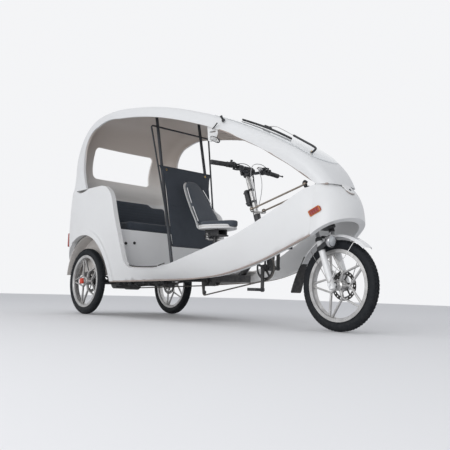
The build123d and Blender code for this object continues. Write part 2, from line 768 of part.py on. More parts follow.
# Rear axle: tube, middle drive housing and brake calipers; stub ends carry the wheels
HUB_IN = TRACK / 2 - HUB_W / 2
with BuildPart() as rear_axle:
    with BuildSketch(SIDE.offset(-(HUB_IN - 6))):
        with Locations((0, TYRE_R)):
            Circle(AXLE_TUBE_R)
    extrude(amount=2 * (HUB_IN - 6))
    with BuildSketch(SIDE.offset(-(TRACK / 2 + HUB_W / 2 + 4))):
        with Locations((0, TYRE_R)):
            Circle(AXLE_R)
    extrude(amount=TRACK + HUB_W + 8)
    with BuildSketch(SIDE.offset(-60)):
        with Locations((0, TYRE_R)):
            Circle(62)
    extrude(amount=120)
    # sprocket of the rear chain
    with BuildSketch(SIDE.offset(-73)):
        with Locations((0, TYRE_R)):
            Circle(39)
    extrude(amount=6)
    # motor beside the middle housing
    with BuildSketch(SIDE.offset(58)):
        with Locations((40, TYRE_R)):
            Circle(56)
    extrude(amount=RAIL_Y - 58 - 20)
    # caliper of each rear disc on a plate from the tube, slotted for the disc
    for side in (-1, 1):
        with BuildSketch(SIDE.offset(-side * (HUB_IN - 18))):
            with Locations((0, TYRE_R)):
                Circle(36)
            with BuildLine():
                Line((0, TYRE_R), (-84, TYRE_R + 44))
            trace(line_width=44)
        extrude(amount=-side * 8)
        with BuildSketch(SIDE.offset(-side * (HUB_IN - 14))):
            with Locations(Location((-84, TYRE_R + 44), 62)):
                RectangleRounded(66, 46, 8)
        extrude(amount=-side * 34)
        with BuildSketch(SIDE.offset(-side * (HUB_IN - 3.5))):
            with Locations((0, TYRE_R)):
                Circle(DISC_R + 6)
        extrude(amount=-side * 15, mode=Mode.SUBTRACT)
        with BuildSketch(SIDE.offset(-side * (HUB_IN - 10))):
            with Locations((0, TYRE_R)):
                Circle(AXLE_R)
        extrude(amount=-side * 30)
rear_axle.part.label = "rear_axle"
export_step(rear_axle.part, "parts/rear_axle.step")

# Wheels: cast rim with hub, five forked arms, brake disc; and the tyre
# columns: name, x, y, z, side of the disc
WHEELS = [
    ("rear_wheel_right", 0, -TRACK / 2, 1),
    ("rear_wheel_left", 0, TRACK / 2, -1),
    ("front_wheel", WHEELBASE, 0, 1),
]
ARM_W = 13
ARM_THICK = 20
SPREAD = 27
with BuildPart() as rim_form:
    with BuildSketch(Plane.XZ):
        with BuildLine():
            Polyline(
                (BEAD_R - 16, -RIM_W / 2 + 5),
                (BEAD_R - 12, -RIM_W / 2),
                (RIM_R, -RIM_W / 2),
                (RIM_R, -RIM_W / 2 + 4),
                (BEAD_R - 3, -RIM_W / 2 + 5),
                (BEAD_R - 3, -12),
                (BEAD_R - 10, -8),
                (BEAD_R - 10, 8),
                (BEAD_R - 3, 12),
                (BEAD_R - 3, RIM_W / 2 - 5),
                (RIM_R, RIM_W / 2 - 4),
                (RIM_R, RIM_W / 2),
                (BEAD_R - 12, RIM_W / 2),
                (BEAD_R - 16, RIM_W / 2 - 5),
                close=True,
            )
        make_face()
    revolve(axis=Axis.Z)
    with BuildSketch(Plane.XY.offset(-HUB_W / 2)):
        Circle(HUB_R)
    extrude(amount=HUB_W)
    with BuildSketch(Plane.XY.offset(-ARM_THICK / 2)):
        for i in range(ARMS):
            turn = 360 / ARMS * i
            nx = NODE_R * math.cos(math.radians(turn))
            ny = NODE_R * math.sin(math.radians(turn))
            with BuildLine():
                Line((0, 0), (nx, ny))
            trace(line_width=ARM_W + 6)
            for way in (-1, 1):
                end = math.radians(turn + way * SPREAD)
                reach = BEAD_R - 12
                with BuildLine():
                    Line((nx, ny), (reach * math.cos(end), reach * math.sin(end)))
                trace(line_width=ARM_W)
    extrude(amount=ARM_THICK)
    with BuildSketch(Plane.XY.offset(DISC_Y)):
        Circle(DISC_R)
        Circle(HUB_R - 4, mode=Mode.SUBTRACT)
        with PolarLocations(78, 12):
            Circle(7, mode=Mode.SUBTRACT)
    extrude(amount=4)
    with BuildSketch(Plane.XY.offset(-HUB_W / 2)):
        Circle(AXLE_R + RUN)
    extrude(amount=HUB_W, mode=Mode.SUBTRACT)

with BuildPart() as tyre_form:
    with BuildSketch(Plane.XZ):
        with BuildLine():
            Line((BEAD_R - 3, -RIM_W / 2 + 6), (BEAD_R - 3, RIM_W / 2 - 6))
            Line((BEAD_R - 3, RIM_W / 2 - 6), (RIM_R + 1, RIM_W / 2 - 6))
            ThreePointArc((RIM_R + 1, RIM_W / 2 - 6), (BEAD_R + 33, TYRE_W / 2), (TYRE_R - 14, TYRE_W / 2 - 6))
            ThreePointArc((TYRE_R - 14, TYRE_W / 2 - 6), (TYRE_R, 0), (TYRE_R - 14, 6 - TYRE_W / 2))
            ThreePointArc((TYRE_R - 14, 6 - TYRE_W / 2), (BEAD_R + 33, -TYRE_W / 2), (RIM_R + 1, 6 - RIM_W / 2))
            Line((RIM_R + 1, 6 - RIM_W / 2), (BEAD_R - 3, 6 - RIM_W / 2))
        make_face()
    revolve(axis=Axis.Z)

for name, x, y, side in WHEELS:
    with BuildPart() as rim:
        add(Pos(AX + x, y, TYRE_R) * Rot(-90 * side, 0, 0) * rim_form.part)
    rim.part.label = name + "_rim"
    export_step(rim.part, "parts/" + name + "_rim.step")
    with BuildPart() as tyre:
        add(Pos(AX + x, y, TYRE_R) * Rot(-90 * side, 0, 0) * tyre_form.part)
    tyre.part.label = name + "_tyre"
    export_step(tyre.part, "parts/" + name + "_tyre.step")

# Steering: column stem, handlebar, tie rods and fork
STEM_LOW = -150
STEM_TOP = 350
BAR_X = 28
BAR_H = 372
BAR_R = 11
GRIP_R = 17
BAR_Y = 330
GRIP_L = 130
PLATE_GAP = 3
with BuildPart() as steering_stem:
    with BuildSketch(COLUMN.offset(STEM_LOW)):
        Circle(STEERER_R)
    extrude(amount=STEM_TOP - STEM_LOW)
    # cross arm with a pin at each end for the tie rods
    with BuildSketch(COLUMN.offset(COLUMN_EYE_H - EYE_T / 2 - PLATE_GAP - ARM_T)):
        Circle(25)
        with BuildLine():
            Polyline((0, 20), (ARM_X, ARM_Y), (ARM_X, -ARM_Y), (0, -20), close=True)
        make_face()
        with Locations((ARM_X, -ARM_Y), (ARM_X, ARM_Y)):
            Circle(11)
        with BuildLine():
            Line((ARM_X - 6, -ARM_Y), (ARM_X - 6, ARM_Y))
        trace(line_width=18)
    extrude(amount=ARM_T)
    with BuildSketch(COLUMN.offset(COLUMN_EYE_H - EYE_T / 2 - PLATE_GAP)):
        with Locations((ARM_X, -ARM_Y), (ARM_X, ARM_Y)):
            Circle(PIN_R)
    extrude(amount=EYE_T + 2 * PLATE_GAP + 4)
    # collar that rests on the column tube
    with BuildSketch(COLUMN.offset(COLUMN_TUBE_TOP + FIT)):
        Circle(24)
    extrude(amount=10)
    # clamp head for the bar
    with BuildSketch(COLUMN.offset(STEM_TOP)):
        with Locations((10, 0)):
            RectangleRounded(58, 44, 10)
    extrude(amount=BAR_H - STEM_TOP + 18)
    with BuildSketch(SIDE.offset(-40)):
        with Locations(
            (
                COLUMN_X + BAR_X * COS_R - BAR_H * SIN_R,
                COLUMN_Z + BAR_X * SIN_R + BAR_H * COS_R,
            )
        ):
            Circle(BAR_R + FIT)
    extrude(amount=80, mode=Mode.SUBTRACT)
steering_stem.part.label = "steering_stem"
export_step(steering_stem.part, "parts/steering_stem.step")

BAR_MID_X = AX + COLUMN_X + BAR_X * COS_R - BAR_H * SIN_R
BAR_MID_Z = COLUMN_Z + BAR_X * SIN_R + BAR_H * COS_R
SWEEP_X = -36
RISE_Z = 26
with BuildPart() as handlebar:
    with BuildLine():
        bar = FilletPolyline(
            (BAR_MID_X + SWEEP_X, -BAR_Y, BAR_MID_Z + RISE_Z),
            (BAR_MID_X, -150, BAR_MID_Z + RISE_Z),
            (BAR_MID_X, -60, BAR_MID_Z),
            (BAR_MID_X, 60, BAR_MID_Z),
            (BAR_MID_X, 150, BAR_MID_Z + RISE_Z),
            (BAR_MID_X + SWEEP_X, BAR_Y, BAR_MID_Z + RISE_Z),
            radius=30,
        )
    with BuildSketch(Plane(origin=bar @ 0, z_dir=bar % 0)):
        Circle(BAR_R)
    sweep()
handlebar.part.label = "handlebar"
export_step(handlebar.part, "parts/handlebar.step")

with BuildPart() as grips:
    for side in (-1, 1):
        grip_dir = Vector(SWEEP_X, side * (BAR_Y - 150), 0).normalized()
        grip_end = Vector(BAR_MID_X + SWEEP_X, side * BAR_Y, BAR_MID_Z + RISE_Z)
        with BuildSketch(Plane(origin=grip_end - grip_dir * GRIP_L, z_dir=grip_dir)):
            Circle(GRIP_R)
        extrude(amount=GRIP_L + 5)
        with BuildSketch(Plane(origin=grip_end - grip_dir * GRIP_L, z_dir=grip_dir)):
            Circle(BAR_R + FIT)
        extrude(amount=GRIP_L + FIT, mode=Mode.SUBTRACT)
grips.part.label = "grips"
export_step(grips.part, "parts/grips.step")

LEVER_R = 5
with BuildPart() as bar_controls:
    for side in (-1, 1):
        clamp_dir = Vector(SWEEP_X, side * (BAR_Y - 150), 0).normalized()
        clamp_at = Vector(BAR_MID_X + SWEEP_X, side * BAR_Y, BAR_MID_Z + RISE_Z) - clamp_dir * (GRIP_L + 38)
        with BuildSketch(Plane(origin=clamp_at, z_dir=clamp_dir)):
            Circle(20)
            Circle(BAR_R + FIT, mode=Mode.SUBTRACT)
        extrude(amount=30)
        with BuildLine():
            lever = FilletPolyline(
                clamp_at + clamp_dir * 15 + Vector(16, 0, 0),
                clamp_at + clamp_dir * 25 + Vector(52, 0, -10),
                clamp_at + clamp_dir * 140 + Vector(46, 0, -14),
                radius=14,
            )
        with BuildSketch(Plane(origin=lever @ 0, z_dir=lever % 0)):
            Circle(LEVER_R)
        sweep()
    # display on the clamp head
    with BuildSketch(COLUMN.offset(BAR_H + 18 + FIT)):
        with Locations((4, 0)):
            RectangleRounded(60, 90, 12)
    extrude(amount=22)
bar_controls.part.label = "bar_controls"
export_step(bar_controls.part, "parts/bar_controls.step")

with BuildPart() as stem_pouch:
    with BuildSketch(COLUMN.offset(120)):
        with Locations((-STEERER_R - FIT - 20, 0)):
            RectangleRounded(40, 70, 14)
    extrude(amount=150)
stem_pouch.part.label = "stem_pouch"
export_step(stem_pouch.part, "parts/stem_pouch.step")

for name, side in (("tie_rod_right", -1), ("tie_rod_left", 1)):
    rear_eye = COLUMN.offset(COLUMN_EYE_H).from_local_coords(Vector(ARM_X, side * ARM_Y, 0))
    front_eye = FORK.offset(FORK_EYE_H).from_local_coords(Vector(ARM_X, side * ARM_Y, 0))
    along = front_eye - rear_eye
    with BuildPart() as tie_rod:
        with BuildSketch(Plane(origin=rear_eye, z_dir=along)):
            Circle(ROD_R)
        extrude(amount=along.length)
        for eye in (rear_eye, front_eye):
            with BuildSketch(Plane(origin=eye, x_dir=COLUMN.x_dir, z_dir=COLUMN.z_dir)):
                Circle(EYE_R)
            extrude(amount=EYE_T / 2, both=True)
        for eye in (rear_eye, front_eye):
            with BuildSketch(Plane(origin=eye, x_dir=COLUMN.x_dir, z_dir=COLUMN.z_dir)):
                Circle(PIN_R + RUN)
            extrude(amount=EYE_T, both=True, mode=Mode.SUBTRACT)
    tie_rod.part.label = name
    export_step(tie_rod.part, "parts/" + name + ".step")

CROWN_H = 392
CROWN_T = 28
with BuildPart() as fork_crown:
    with BuildSketch(FORK.offset(CROWN_H)):
        with Locations((FORK_OFFSET / 2, 0)):
            RectangleRounded(FORK_OFFSET + 56, 2 * LEG_Y + 52, 16)
    extrude(amount=CROWN_T)
    with BuildSketch(FORK.offset(CROWN_H)):
        Circle(STEERER_R)
    extrude(amount=FORK_EYE_H - EYE_T / 2 - PLATE_GAP - CROWN_H)
    with BuildSketch(FORK.offset(HEAD_LOW - FIT - 8)):
        Circle(24)
    extrude(amount=8)
    with BuildSketch(FORK.offset(FORK_EYE_H - EYE_T / 2 - PLATE_GAP - ARM_T)):
        Circle(25)
        with BuildLine():
            Line((ARM_X - 6, -ARM_Y), (ARM_X - 6, ARM_Y))
        trace(line_width=18)
        with Locations((ARM_X, -ARM_Y), (ARM_X, ARM_Y)):
            Circle(11)
    extrude(amount=ARM_T)
    with BuildSketch(FORK.offset(FORK_EYE_H - EYE_T / 2 - PLATE_GAP)):
        with Locations((ARM_X, -ARM_Y), (ARM_X, ARM_Y)):
            Circle(PIN_R)
    extrude(amount=EYE_T + 2 * PLATE_GAP + 4)
    with BuildSketch(FORK.offset(CROWN_H)):
        with Locations((FORK_OFFSET, -LEG_Y), (FORK_OFFSET, LEG_Y)):
            Circle(STANCHION_R + FIT)
    extrude(amount=CROWN_T, mode=Mode.SUBTRACT)
fork_crown.part.label = "fork_crown"
export_step(fork_crown.part, "parts/fork_crown.step")

with BuildPart() as fork_stanchions:
    with BuildSketch(FORK.offset(120)):
        with Locations((FORK_OFFSET, -LEG_Y), (FORK_OFFSET, LEG_Y)):
            Circle(STANCHION_R)
    extrude(amount=CROWN_H + CROWN_T + 4 - 120)
fork_stanchions.part.label = "fork_stanchions"
export_step(fork_stanchions.part, "parts/fork_stanchions.step")

LEG_TOP = 284
with BuildPart() as fork_lowers:
    with BuildSketch(FORK.offset(-26)):
        with Locations((FORK_OFFSET, -LEG_Y), (FORK_OFFSET, LEG_Y)):
            Circle(LEG_R)
    extrude(amount=LEG_TOP + 26)
    # wheel axle with its spacers and nuts
    with BuildSketch(SIDE.offset(-LEG_Y - LEG_R - 8)):
        with Locations((WHEELBASE, TYRE_R)):
            Circle(AXLE_R)
    extrude(amount=2 * (LEG_Y + LEG_R + 8))
    for side in (-1, 1):
        with BuildSketch(SIDE.offset(side * (HUB_W / 2 + 1))):
            with Locations((WHEELBASE, TYRE_R)):
                Circle(14)
        extrude(amount=side * (LEG_Y - LEG_R / 2 - HUB_W / 2 - 1))
        with BuildSketch(SIDE.offset(side * (LEG_Y + LEG_R - 3))):
            with Locations((WHEELBASE, TYRE_R)):
                RegularPolygon(12, 6)
        extrude(amount=side * 9)
    # caliper behind the left leg, slotted for the disc
    with BuildSketch(SIDE.offset(-LEG_Y - 4)):
        with Locations(Location((WHEELBASE - 98, TYRE_R + 62), 55)):
            RectangleRounded(44, 66, 8)
    extrude(amount=LEG_Y + 4 - DISC_Y + 14)
    with BuildSketch(SIDE.offset(-LEG_Y - 4)):
        with BuildLine():
            Line((WHEELBASE - 98, TYRE_R + 62), (WHEELBASE - 22, TYRE_R + 54))
        trace(line_width=32)
    extrude(amount=22)
    with BuildSketch(SIDE.offset(-DISC_Y - 4 - 5.5)):
        with Locations((WHEELBASE, TYRE_R)):
            Circle(DISC_R + 6)
    extrude(amount=15, mode=Mode.SUBTRACT)
    with BuildSketch(SIDE.offset(-HUB_W / 2 - 1.5)):
        with Locations((WHEELBASE, TYRE_R)):
            Circle(AXLE_R + 5)
    extrude(amount=HUB_W + 3, mode=Mode.SUBTRACT)
    with BuildSketch(SIDE.offset(-LEG_Y)):
        with Locations((WHEELBASE, TYRE_R)):
            Circle(AXLE_R)
    extrude(amount=2 * LEG_Y)
    with BuildSketch(FORK.offset(118)):
        with Locations((FORK_OFFSET, -LEG_Y), (FORK_OFFSET, LEG_Y)):
            Circle(STANCHION_R + FIT)
    extrude(amount=LEG_TOP, mode=Mode.SUBTRACT)
fork_lowers.part.label = "fork_lowers"
export_step(fork_lowers.part, "parts/fork_lowers.step")

# Mudguard over the front tyre, carried by the fork, with a rubber flap behind
GUARD_R = 310
GUARD_DROP = 12
GUARD_W = 88
GUARD_FLAT = 60
GUARD_T = 3
GUARD_FRONT = 47
GUARD_REAR = 154
GUARD_START = Plane(
    origin=(AX + WHEELBASE, 0, TYRE_R),
    x_dir=(math.cos(math.radians(GUARD_FRONT)), 0, math.sin(math.radians(GUARD_FRONT))),
    z_dir=(math.sin(math.radians(GUARD_FRONT)), 0, -math.cos(math.radians(GUARD_FRONT))),
)
with BuildPart() as mudguard:
    with BuildSketch(GUARD_START):
        with BuildLine():
            Polyline(
                (GUARD_R - GUARD_DROP, -GUARD_W / 2),
                (GUARD_R, -GUARD_FLAT / 2),
                (GUARD_R, GUARD_FLAT / 2),
                (GUARD_R - GUARD_DROP, GUARD_W / 2),
                (GUARD_R - GUARD_DROP - GUARD_T, GUARD_W / 2),
                (GUARD_R - GUARD_T, GUARD_FLAT / 2 - 1),
                (GUARD_R - GUARD_T, 1 - GUARD_FLAT / 2),
                (GUARD_R - GUARD_DROP - GUARD_T, -GUARD_W / 2),
                close=True,
            )
        make_face()
    revolve(
        axis=Axis((AX + WHEELBASE, 0, TYRE_R), (0, -1, 0)),
        revolution_arc=GUARD_REAR - GUARD_FRONT,
    )
    # lugs to the fork legs
    with BuildSketch(FORK.offset(LEG_TOP - 22)):
        with Locations((FORK_OFFSET, -52), (FORK_OFFSET, 52)):
            Rectangle(34, 22)
    extrude(amount=37)
    with BuildSketch(FORK.offset(LEG_TOP - 40)):
        with Locations((FORK_OFFSET, -LEG_Y), (FORK_OFFSET, LEG_Y)):
            Circle(LEG_R + FIT)
    extrude(amount=80, mode=Mode.SUBTRACT)
mudguard.part.label = "mudguard"
export_step(mudguard.part, "parts/mudguard.step")

FLAP_T = 4
FLAP_W = 100
flap_line = []
for angle in (145, GUARD_REAR + 1):
    flap_line.append(
        (
            WHEELBASE + (GUARD_R + 1.6) * math.cos(math.radians(angle)),
            TYRE_R + (GUARD_R + 1.6) * math.sin(math.radians(angle)),
        )
    )
with BuildPart() as mud_flap:
    with BuildSketch(SIDE.offset(-GUARD_FLAT / 2)):
        with BuildLine():
            Polyline(
                flap_line[0],
                flap_line[1],
                (2048, 385),
                (2048 - FLAP_T, 385),
                (flap_line[1][0] - FLAP_T, flap_line[1][1] + 1),
                (flap_line[0][0] - FLAP_T, flap_line[0][1] + 2),
                close=True,
            )
        make_face()
    extrude(amount=GUARD_FLAT)
    with BuildSketch(SIDE.offset(-FLAP_W / 2)):
        with BuildLine():
            Polyline((2048, 388), (2048 - FLAP_T, 388), (2036, 225), (2040, 225), close=True)
        make_face()
    extrude(amount=FLAP_W)
mud_flap.part.label = "mud_flap"
export_step(mud_flap.part, "parts/mud_flap.step")

LAMP_X = 2330
LAMP_Y = -100
LAMP_Z = 537
LAMP_R = 35
LAMP_L = 58
with BuildPart() as headlamp:
    with BuildSketch(Plane(origin=(AX + LAMP_X, LAMP_Y, LAMP_Z), x_dir=(0, 1, 0), z_dir=(1, 0, 0))):
        Circle(LAMP_R)
    extrude(amount=LAMP_L)
    with BuildSketch(Plane(origin=(AX + LAMP_X, LAMP_Y, LAMP_Z), x_dir=(0, 1, 0), z_dir=(1, 0, 0))):
        Circle(LAMP_R)
    extrude(amount=-20, taper=38)
    # clamp round the right leg and the plate that carries the lamp
    with BuildSketch(FORK.offset(LEG_TOP - 62)):
        with Locations((FORK_OFFSET, -LEG_Y)):
            Circle(LEG_R + 6)
    extrude(amount=22)
    with BuildSketch(SIDE.offset(LEG_Y + LEG_R + 1)):
        with BuildLine():
            Polyline((2250, 486), (2250, 508), (2332, 556), (2340, 530), (2270, 486), close=True)
        make_face()
    extrude(amount=4)
    with BuildSketch(FORK.offset(LEG_TOP - 80)):
        with Locations((FORK_OFFSET, -LEG_Y)):
            Circle(LEG_R + FIT)
    extrude(amount=60, mode=Mode.SUBTRACT)
headlamp.part.label = "headlamp"
export_step(headlamp.part, "parts/headlamp.step")

# Pedal drive: crank with chainring, pedals, chain down to the jackshaft and back to the axle
RING_IN = RING_R - 7
SPINDLE_R = 11
CRANK_T = 13
PEDAL_R = 7
with BuildPart() as crankset:
    with BuildSketch(SIDE.offset(-CRANK_Y - CRANK_T / 2)):
        with Locations((CRANK_X, CRANK_Z)):
            Circle(SPINDLE_R)
    extrude(amount=2 * CRANK_Y + CRANK_T)
    for side in (-1, 1):
        with BuildSketch(SIDE.offset(-side * CRANK_Y)):
            with Locations((CRANK_X, CRANK_Z), (CRANK_X, CRANK_Z + side * CRANK_L)):
                Circle(15)
            with BuildLine():
                Line((CRANK_X, CRANK_Z), (CRANK_X, CRANK_Z + side * CRANK_L))
            trace(line_width=22)
        extrude(amount=CRANK_T / 2, both=True)
    # chainring on a collar, with five arms
    with BuildSketch(SIDE.offset(-CHAIN_Y - 2)):
        with Locations((CRANK_X, CRANK_Z)):
            Circle(RING_IN)
            Circle(RING_IN - 14, mode=Mode.SUBTRACT)
            Circle(26)
        for i in range(5):
            turn = math.radians(90 + 72 * i)
            with BuildLine():
                Line(
                    (CRANK_X, CRANK_Z),
                    (CRANK_X + (RING_IN - 8) * math.cos(turn), CRANK_Z + (RING_IN - 8) * math.sin(turn)),
                )
            trace(line_width=16)
    extrude(amount=4)
    with BuildSketch(SIDE.offset(-CHAIN_Y)):
        with Locations((CRANK_X, CRANK_Z)):
            Circle(20)
    extrude(amount=CRANK_Y + CHAIN_Y)
    # holes for the pedal axles
    for side in (-1, 1):
        with BuildSketch(SIDE.offset(-side * CRANK_Y)):
            with Locations((CRANK_X, CRANK_Z + side * CRANK_L)):
                Circle(PEDAL_R + RUN)
        extrude(amount=CRANK_T, both=True, mode=Mode.SUBTRACT)
crankset.part.label = "crankset"
export_step(crankset.part, "parts/crankset.step")

PEDAL_L = 95
PEDAL_W = 84
PEDAL_T = 20
PEDAL_IN = CRANK_Y + CRANK_T / 2 + 6
for name, side in (("pedal_right", -1), ("pedal_left", 1)):
    with BuildPart() as pedal:
        with BuildSketch(SIDE.offset(-side * (CRANK_Y - CRANK_T / 2 + 1))):
            with Locations((CRANK_X, CRANK_Z + side * CRANK_L)):
                Circle(PEDAL_R)
        extrude(amount=-side * (PEDAL_IN - CRANK_Y + CRANK_T / 2 + PEDAL_L - 4))
        with BuildSketch(PLAN.offset(CRANK_Z + side * CRANK_L - PEDAL_T / 2)):
            with Locations((CRANK_X, side * (PEDAL_IN + PEDAL_L / 2))):
                RectangleRounded(PEDAL_W, PEDAL_L, 12)
                RectangleRounded(PEDAL_W - 20, PEDAL_L - 16, 6, mode=Mode.SUBTRACT)
                Rectangle(26, PEDAL_L - 4)
        extrude(amount=PEDAL_T)
    pedal.part.label = name
    export_step(pedal.part, "parts/" + name + ".step")

# columns: x, z, pitch radius of what the front chain runs round
CHAIN_WHEELS = [
    (CRANK_X, CRANK_Z, RING_IN + 5),
    (JACK_X, JACK_Z, 34),
    (JACK_X, JACK_Z - 88, 20),
]
BACK_CHAIN_Y = 70
BACK_WHEELS = [(JACK_X, JACK_Z, 30), (0, TYRE_R, 44)]
CHAIN_H = 9
CHAIN_W = 7
with BuildPart() as chain:
    for y, wheels in ((CHAIN_Y, CHAIN_WHEELS), (BACK_CHAIN_Y, BACK_WHEELS)):
        for grow, way in ((CHAIN_H / 2, Mode.ADD), (-CHAIN_H / 2, Mode.SUBTRACT)):
            with BuildSketch(SIDE.offset(-y - CHAIN_W / 2)):
                for x, z, r in wheels:
                    with Locations((x, z)):
                        Circle(r + grow)
                make_hull()
            extrude(amount=CHAIN_W, mode=way)
chain.part.label = "chain"
export_step(chain.part, "parts/chain.step")

JACK_R = 8
with BuildPart() as derailleur:
    with BuildSketch(SIDE.offset(-BACK_CHAIN_Y - 8)):
        with Locations((JACK_X, JACK_Z)):
            Circle(JACK_R)
    extrude(amount=BACK_CHAIN_Y + 8 - CHAIN_Y + 16)
    with BuildSketch(SIDE.offset(-CHAIN_Y - 3)):
        with Locations((JACK_X, JACK_Z)):
            Circle(34 - CHAIN_H / 2 - FIT)
        with Locations((JACK_X, JACK_Z - 88)):
            Circle(20 - CHAIN_H / 2 - FIT)
    extrude(amount=6)
    with BuildSketch(SIDE.offset(-BACK_CHAIN_Y - 3)):
        with Locations((JACK_X, JACK_Z)):
            Circle(30 - CHAIN_H / 2 - FIT)
    extrude(amount=6)
    # cage plate outside the chain with the pin of the lower wheel
    with BuildSketch(SIDE.offset(-CHAIN_Y + 7)):
        with Locations((JACK_X, JACK_Z), (JACK_X, JACK_Z - 88)):
            Circle(13)
        with BuildLine():
            Line((JACK_X, JACK_Z), (JACK_X, JACK_Z - 88))
        trace(line_width=22)
    extrude(amount=4)
    with BuildSketch(SIDE.offset(-CHAIN_Y - 3)):
        with Locations((JACK_X, JACK_Z - 88)):
            Circle(4)
    extrude(amount=14)
derailleur.part.label = "derailleur"
export_step(derailleur.part, "parts/derailleur.step")

# Bracket with a loop inside the right roof edge, and a knob ahead of it
with BuildPart() as roof_fittings:
    with BuildSketch(SIDE.offset(350)):
        with Locations((1520, 1322)):
            RectangleRounded(84, 128, 16)
            SlotOverall(50, 12, mode=Mode.SUBTRACT)
        with Locations((1620, 1330)):
            Circle(13)
    extrude(amount=80)
    add(roof_form[-ROOF_SKIN - FIT], mode=Mode.INTERSECT)
roof_fittings.part.label = "roof_fittings"
export_step(roof_fittings.part, "parts/roof_fittings.step")

# Lamps let into the skin: side markers on the nose, tail lamps on the rear corners
MARK_TURN = math.radians(15)
TAIL_LAMP_Y = 500
with BuildPart() as marker_lamps:
    with BuildSketch(
        Plane(
            origin=(AX + 2316, -201, 717),
            x_dir=(math.cos(MARK_TURN), math.sin(MARK_TURN), 0),
            z_dir=(math.sin(MARK_TURN), -math.cos(MARK_TURN), 0),
        )
    ):
        with Locations(Location((0, 0), 24.7)):
            RectangleRounded(82, 32, 8)
    extrude(amount=11)
    with BuildSketch(
        Plane(
            origin=(AX + 2316, -201, 717),
            x_dir=(math.cos(MARK_TURN), math.sin(MARK_TURN), 0),
            z_dir=(math.sin(MARK_TURN), -math.cos(MARK_TURN), 0),
        )
    ):
        with Locations(Location((0, 0), 24.7)):
            RectangleRounded(82, 32, 8)
    extrude(amount=-12)
    mirror(about=Plane.XZ)
    for side in (-1, 1):
        with BuildSketch(
            Plane(
                origin=(AX - 269, side * TAIL_LAMP_Y, 640),
                x_dir=(0.727, side * 0.687, 0),
                z_dir=(-0.687, side * 0.727, 0),
            )
        ):
            RectangleRounded(44, 120, 14)
        extrude(amount=12, both=True)
    for skin in (hull_side_right, hull_side_left, hull_nose, hull_rear):
        add(skin.part, mode=Mode.SUBTRACT)
marker_lamps.part.label = "marker_lamps"
export_step(marker_lamps.part, "parts/marker_lamps.step")
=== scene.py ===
# %% [markdown]
# A three-wheeled passenger pedal cycle, dressed for a photograph
#
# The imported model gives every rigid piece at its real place. This notebook adds what a maker
# adds last: moulded skins with their colour and shine, woven cloth and stuffed seats, tyre tread,
# cables, lenses and small fastenings. Lengths are metres, X points forward and Z up.

# %% Load the fixed frame
import math
import bmesh
import bpy
from mathutils import Matrix, Vector


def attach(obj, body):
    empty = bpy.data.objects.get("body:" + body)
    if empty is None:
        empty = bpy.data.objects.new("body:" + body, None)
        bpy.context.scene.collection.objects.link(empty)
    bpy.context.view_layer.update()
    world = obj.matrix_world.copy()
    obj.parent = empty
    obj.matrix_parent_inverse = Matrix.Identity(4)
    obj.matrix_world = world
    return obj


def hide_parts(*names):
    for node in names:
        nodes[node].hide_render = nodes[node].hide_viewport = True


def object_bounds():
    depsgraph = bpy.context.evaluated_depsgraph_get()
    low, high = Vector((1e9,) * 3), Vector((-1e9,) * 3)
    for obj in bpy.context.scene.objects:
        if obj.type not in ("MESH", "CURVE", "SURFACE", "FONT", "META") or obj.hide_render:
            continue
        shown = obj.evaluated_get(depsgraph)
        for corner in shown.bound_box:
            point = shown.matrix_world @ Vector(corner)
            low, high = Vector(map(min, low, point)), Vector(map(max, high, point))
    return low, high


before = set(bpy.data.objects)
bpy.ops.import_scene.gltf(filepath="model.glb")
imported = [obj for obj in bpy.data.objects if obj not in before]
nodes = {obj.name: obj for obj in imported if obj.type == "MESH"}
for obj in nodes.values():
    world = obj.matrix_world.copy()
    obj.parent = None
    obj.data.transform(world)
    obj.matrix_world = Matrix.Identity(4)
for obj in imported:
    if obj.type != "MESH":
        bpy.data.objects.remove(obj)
cad_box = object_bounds()

# %% [markdown]
# The vehicle's main places, repeated from the construction in metres. The rear axle's place
# follows from the box: the front tyre's foremost point is the wheelbase and a tyre's radius ahead
# of it. Small functions turn a maker's millimetres into places of the frame.

# %% Places that the dressing needs
MM = 0.001
WHEELBASE = 2.344
TYRE_R = 0.279
FORK_OFFSET = 0.021
REAR_AXLE = cad_box[1][0] - TYRE_R - WHEELBASE
RAKE = math.radians(20)
COLUMN_AT = Vector((REAR_AXLE + 1.619, 0, 0.734))
FORK_AT = Vector((REAR_AXLE + WHEELBASE - FORK_OFFSET * math.cos(RAKE), 0,
                  TYRE_R - FORK_OFFSET * math.sin(RAKE)))
SIDES = ((-1, "right"), (1, "left"))
print("rear axle at x =", round(REAR_AXLE, 4))


def at(x, y, z):
    """A place given in millimetres from the rear axle, the middle and the ground."""
    return Vector((REAR_AXLE + x * MM, y * MM, z * MM))


def raked(origin, forward, left, up):
    """A place in millimetres along the raked steering axis that starts at origin."""
    s, c = math.sin(RAKE), math.cos(RAKE)
    return origin + Vector((forward * c - up * s, left, forward * s + up * c)) * MM


def axes(x_axis, y_axis, z_axis):
    """A turning matrix, given where its three local axes point."""
    return Matrix((x_axis, y_axis, z_axis)).transposed().to_4x4()


# %% [markdown]
# The camera comes first. It stands low, a good four metres off the right front corner, and looks
# up slightly, as the photographer did. Its turn, tilt and roll were solved from the round tyres.

# %% Camera
CAMERA_TURN = math.radians(49.1)
CAMERA_TILT = math.radians(6.5)
CAMERA_ROLL = math.radians(1.67)
CAMERA_AT = at(4609, -2899, 218)
SENSOR_WIDTH = 36
FOCAL_SHARE = 590 / 450

camera_data = bpy.data.cameras.new("camera")
camera = bpy.data.objects.new("camera", camera_data)
bpy.context.scene.collection.objects.link(camera)
bpy.context.scene.camera = camera
camera_data.sensor_fit = "HORIZONTAL"
camera_data.sensor_width = SENSOR_WIDTH
camera_data.lens = SENSOR_WIDTH * FOCAL_SHARE
camera_data.clip_start = 0.05
camera_data.clip_end = 60

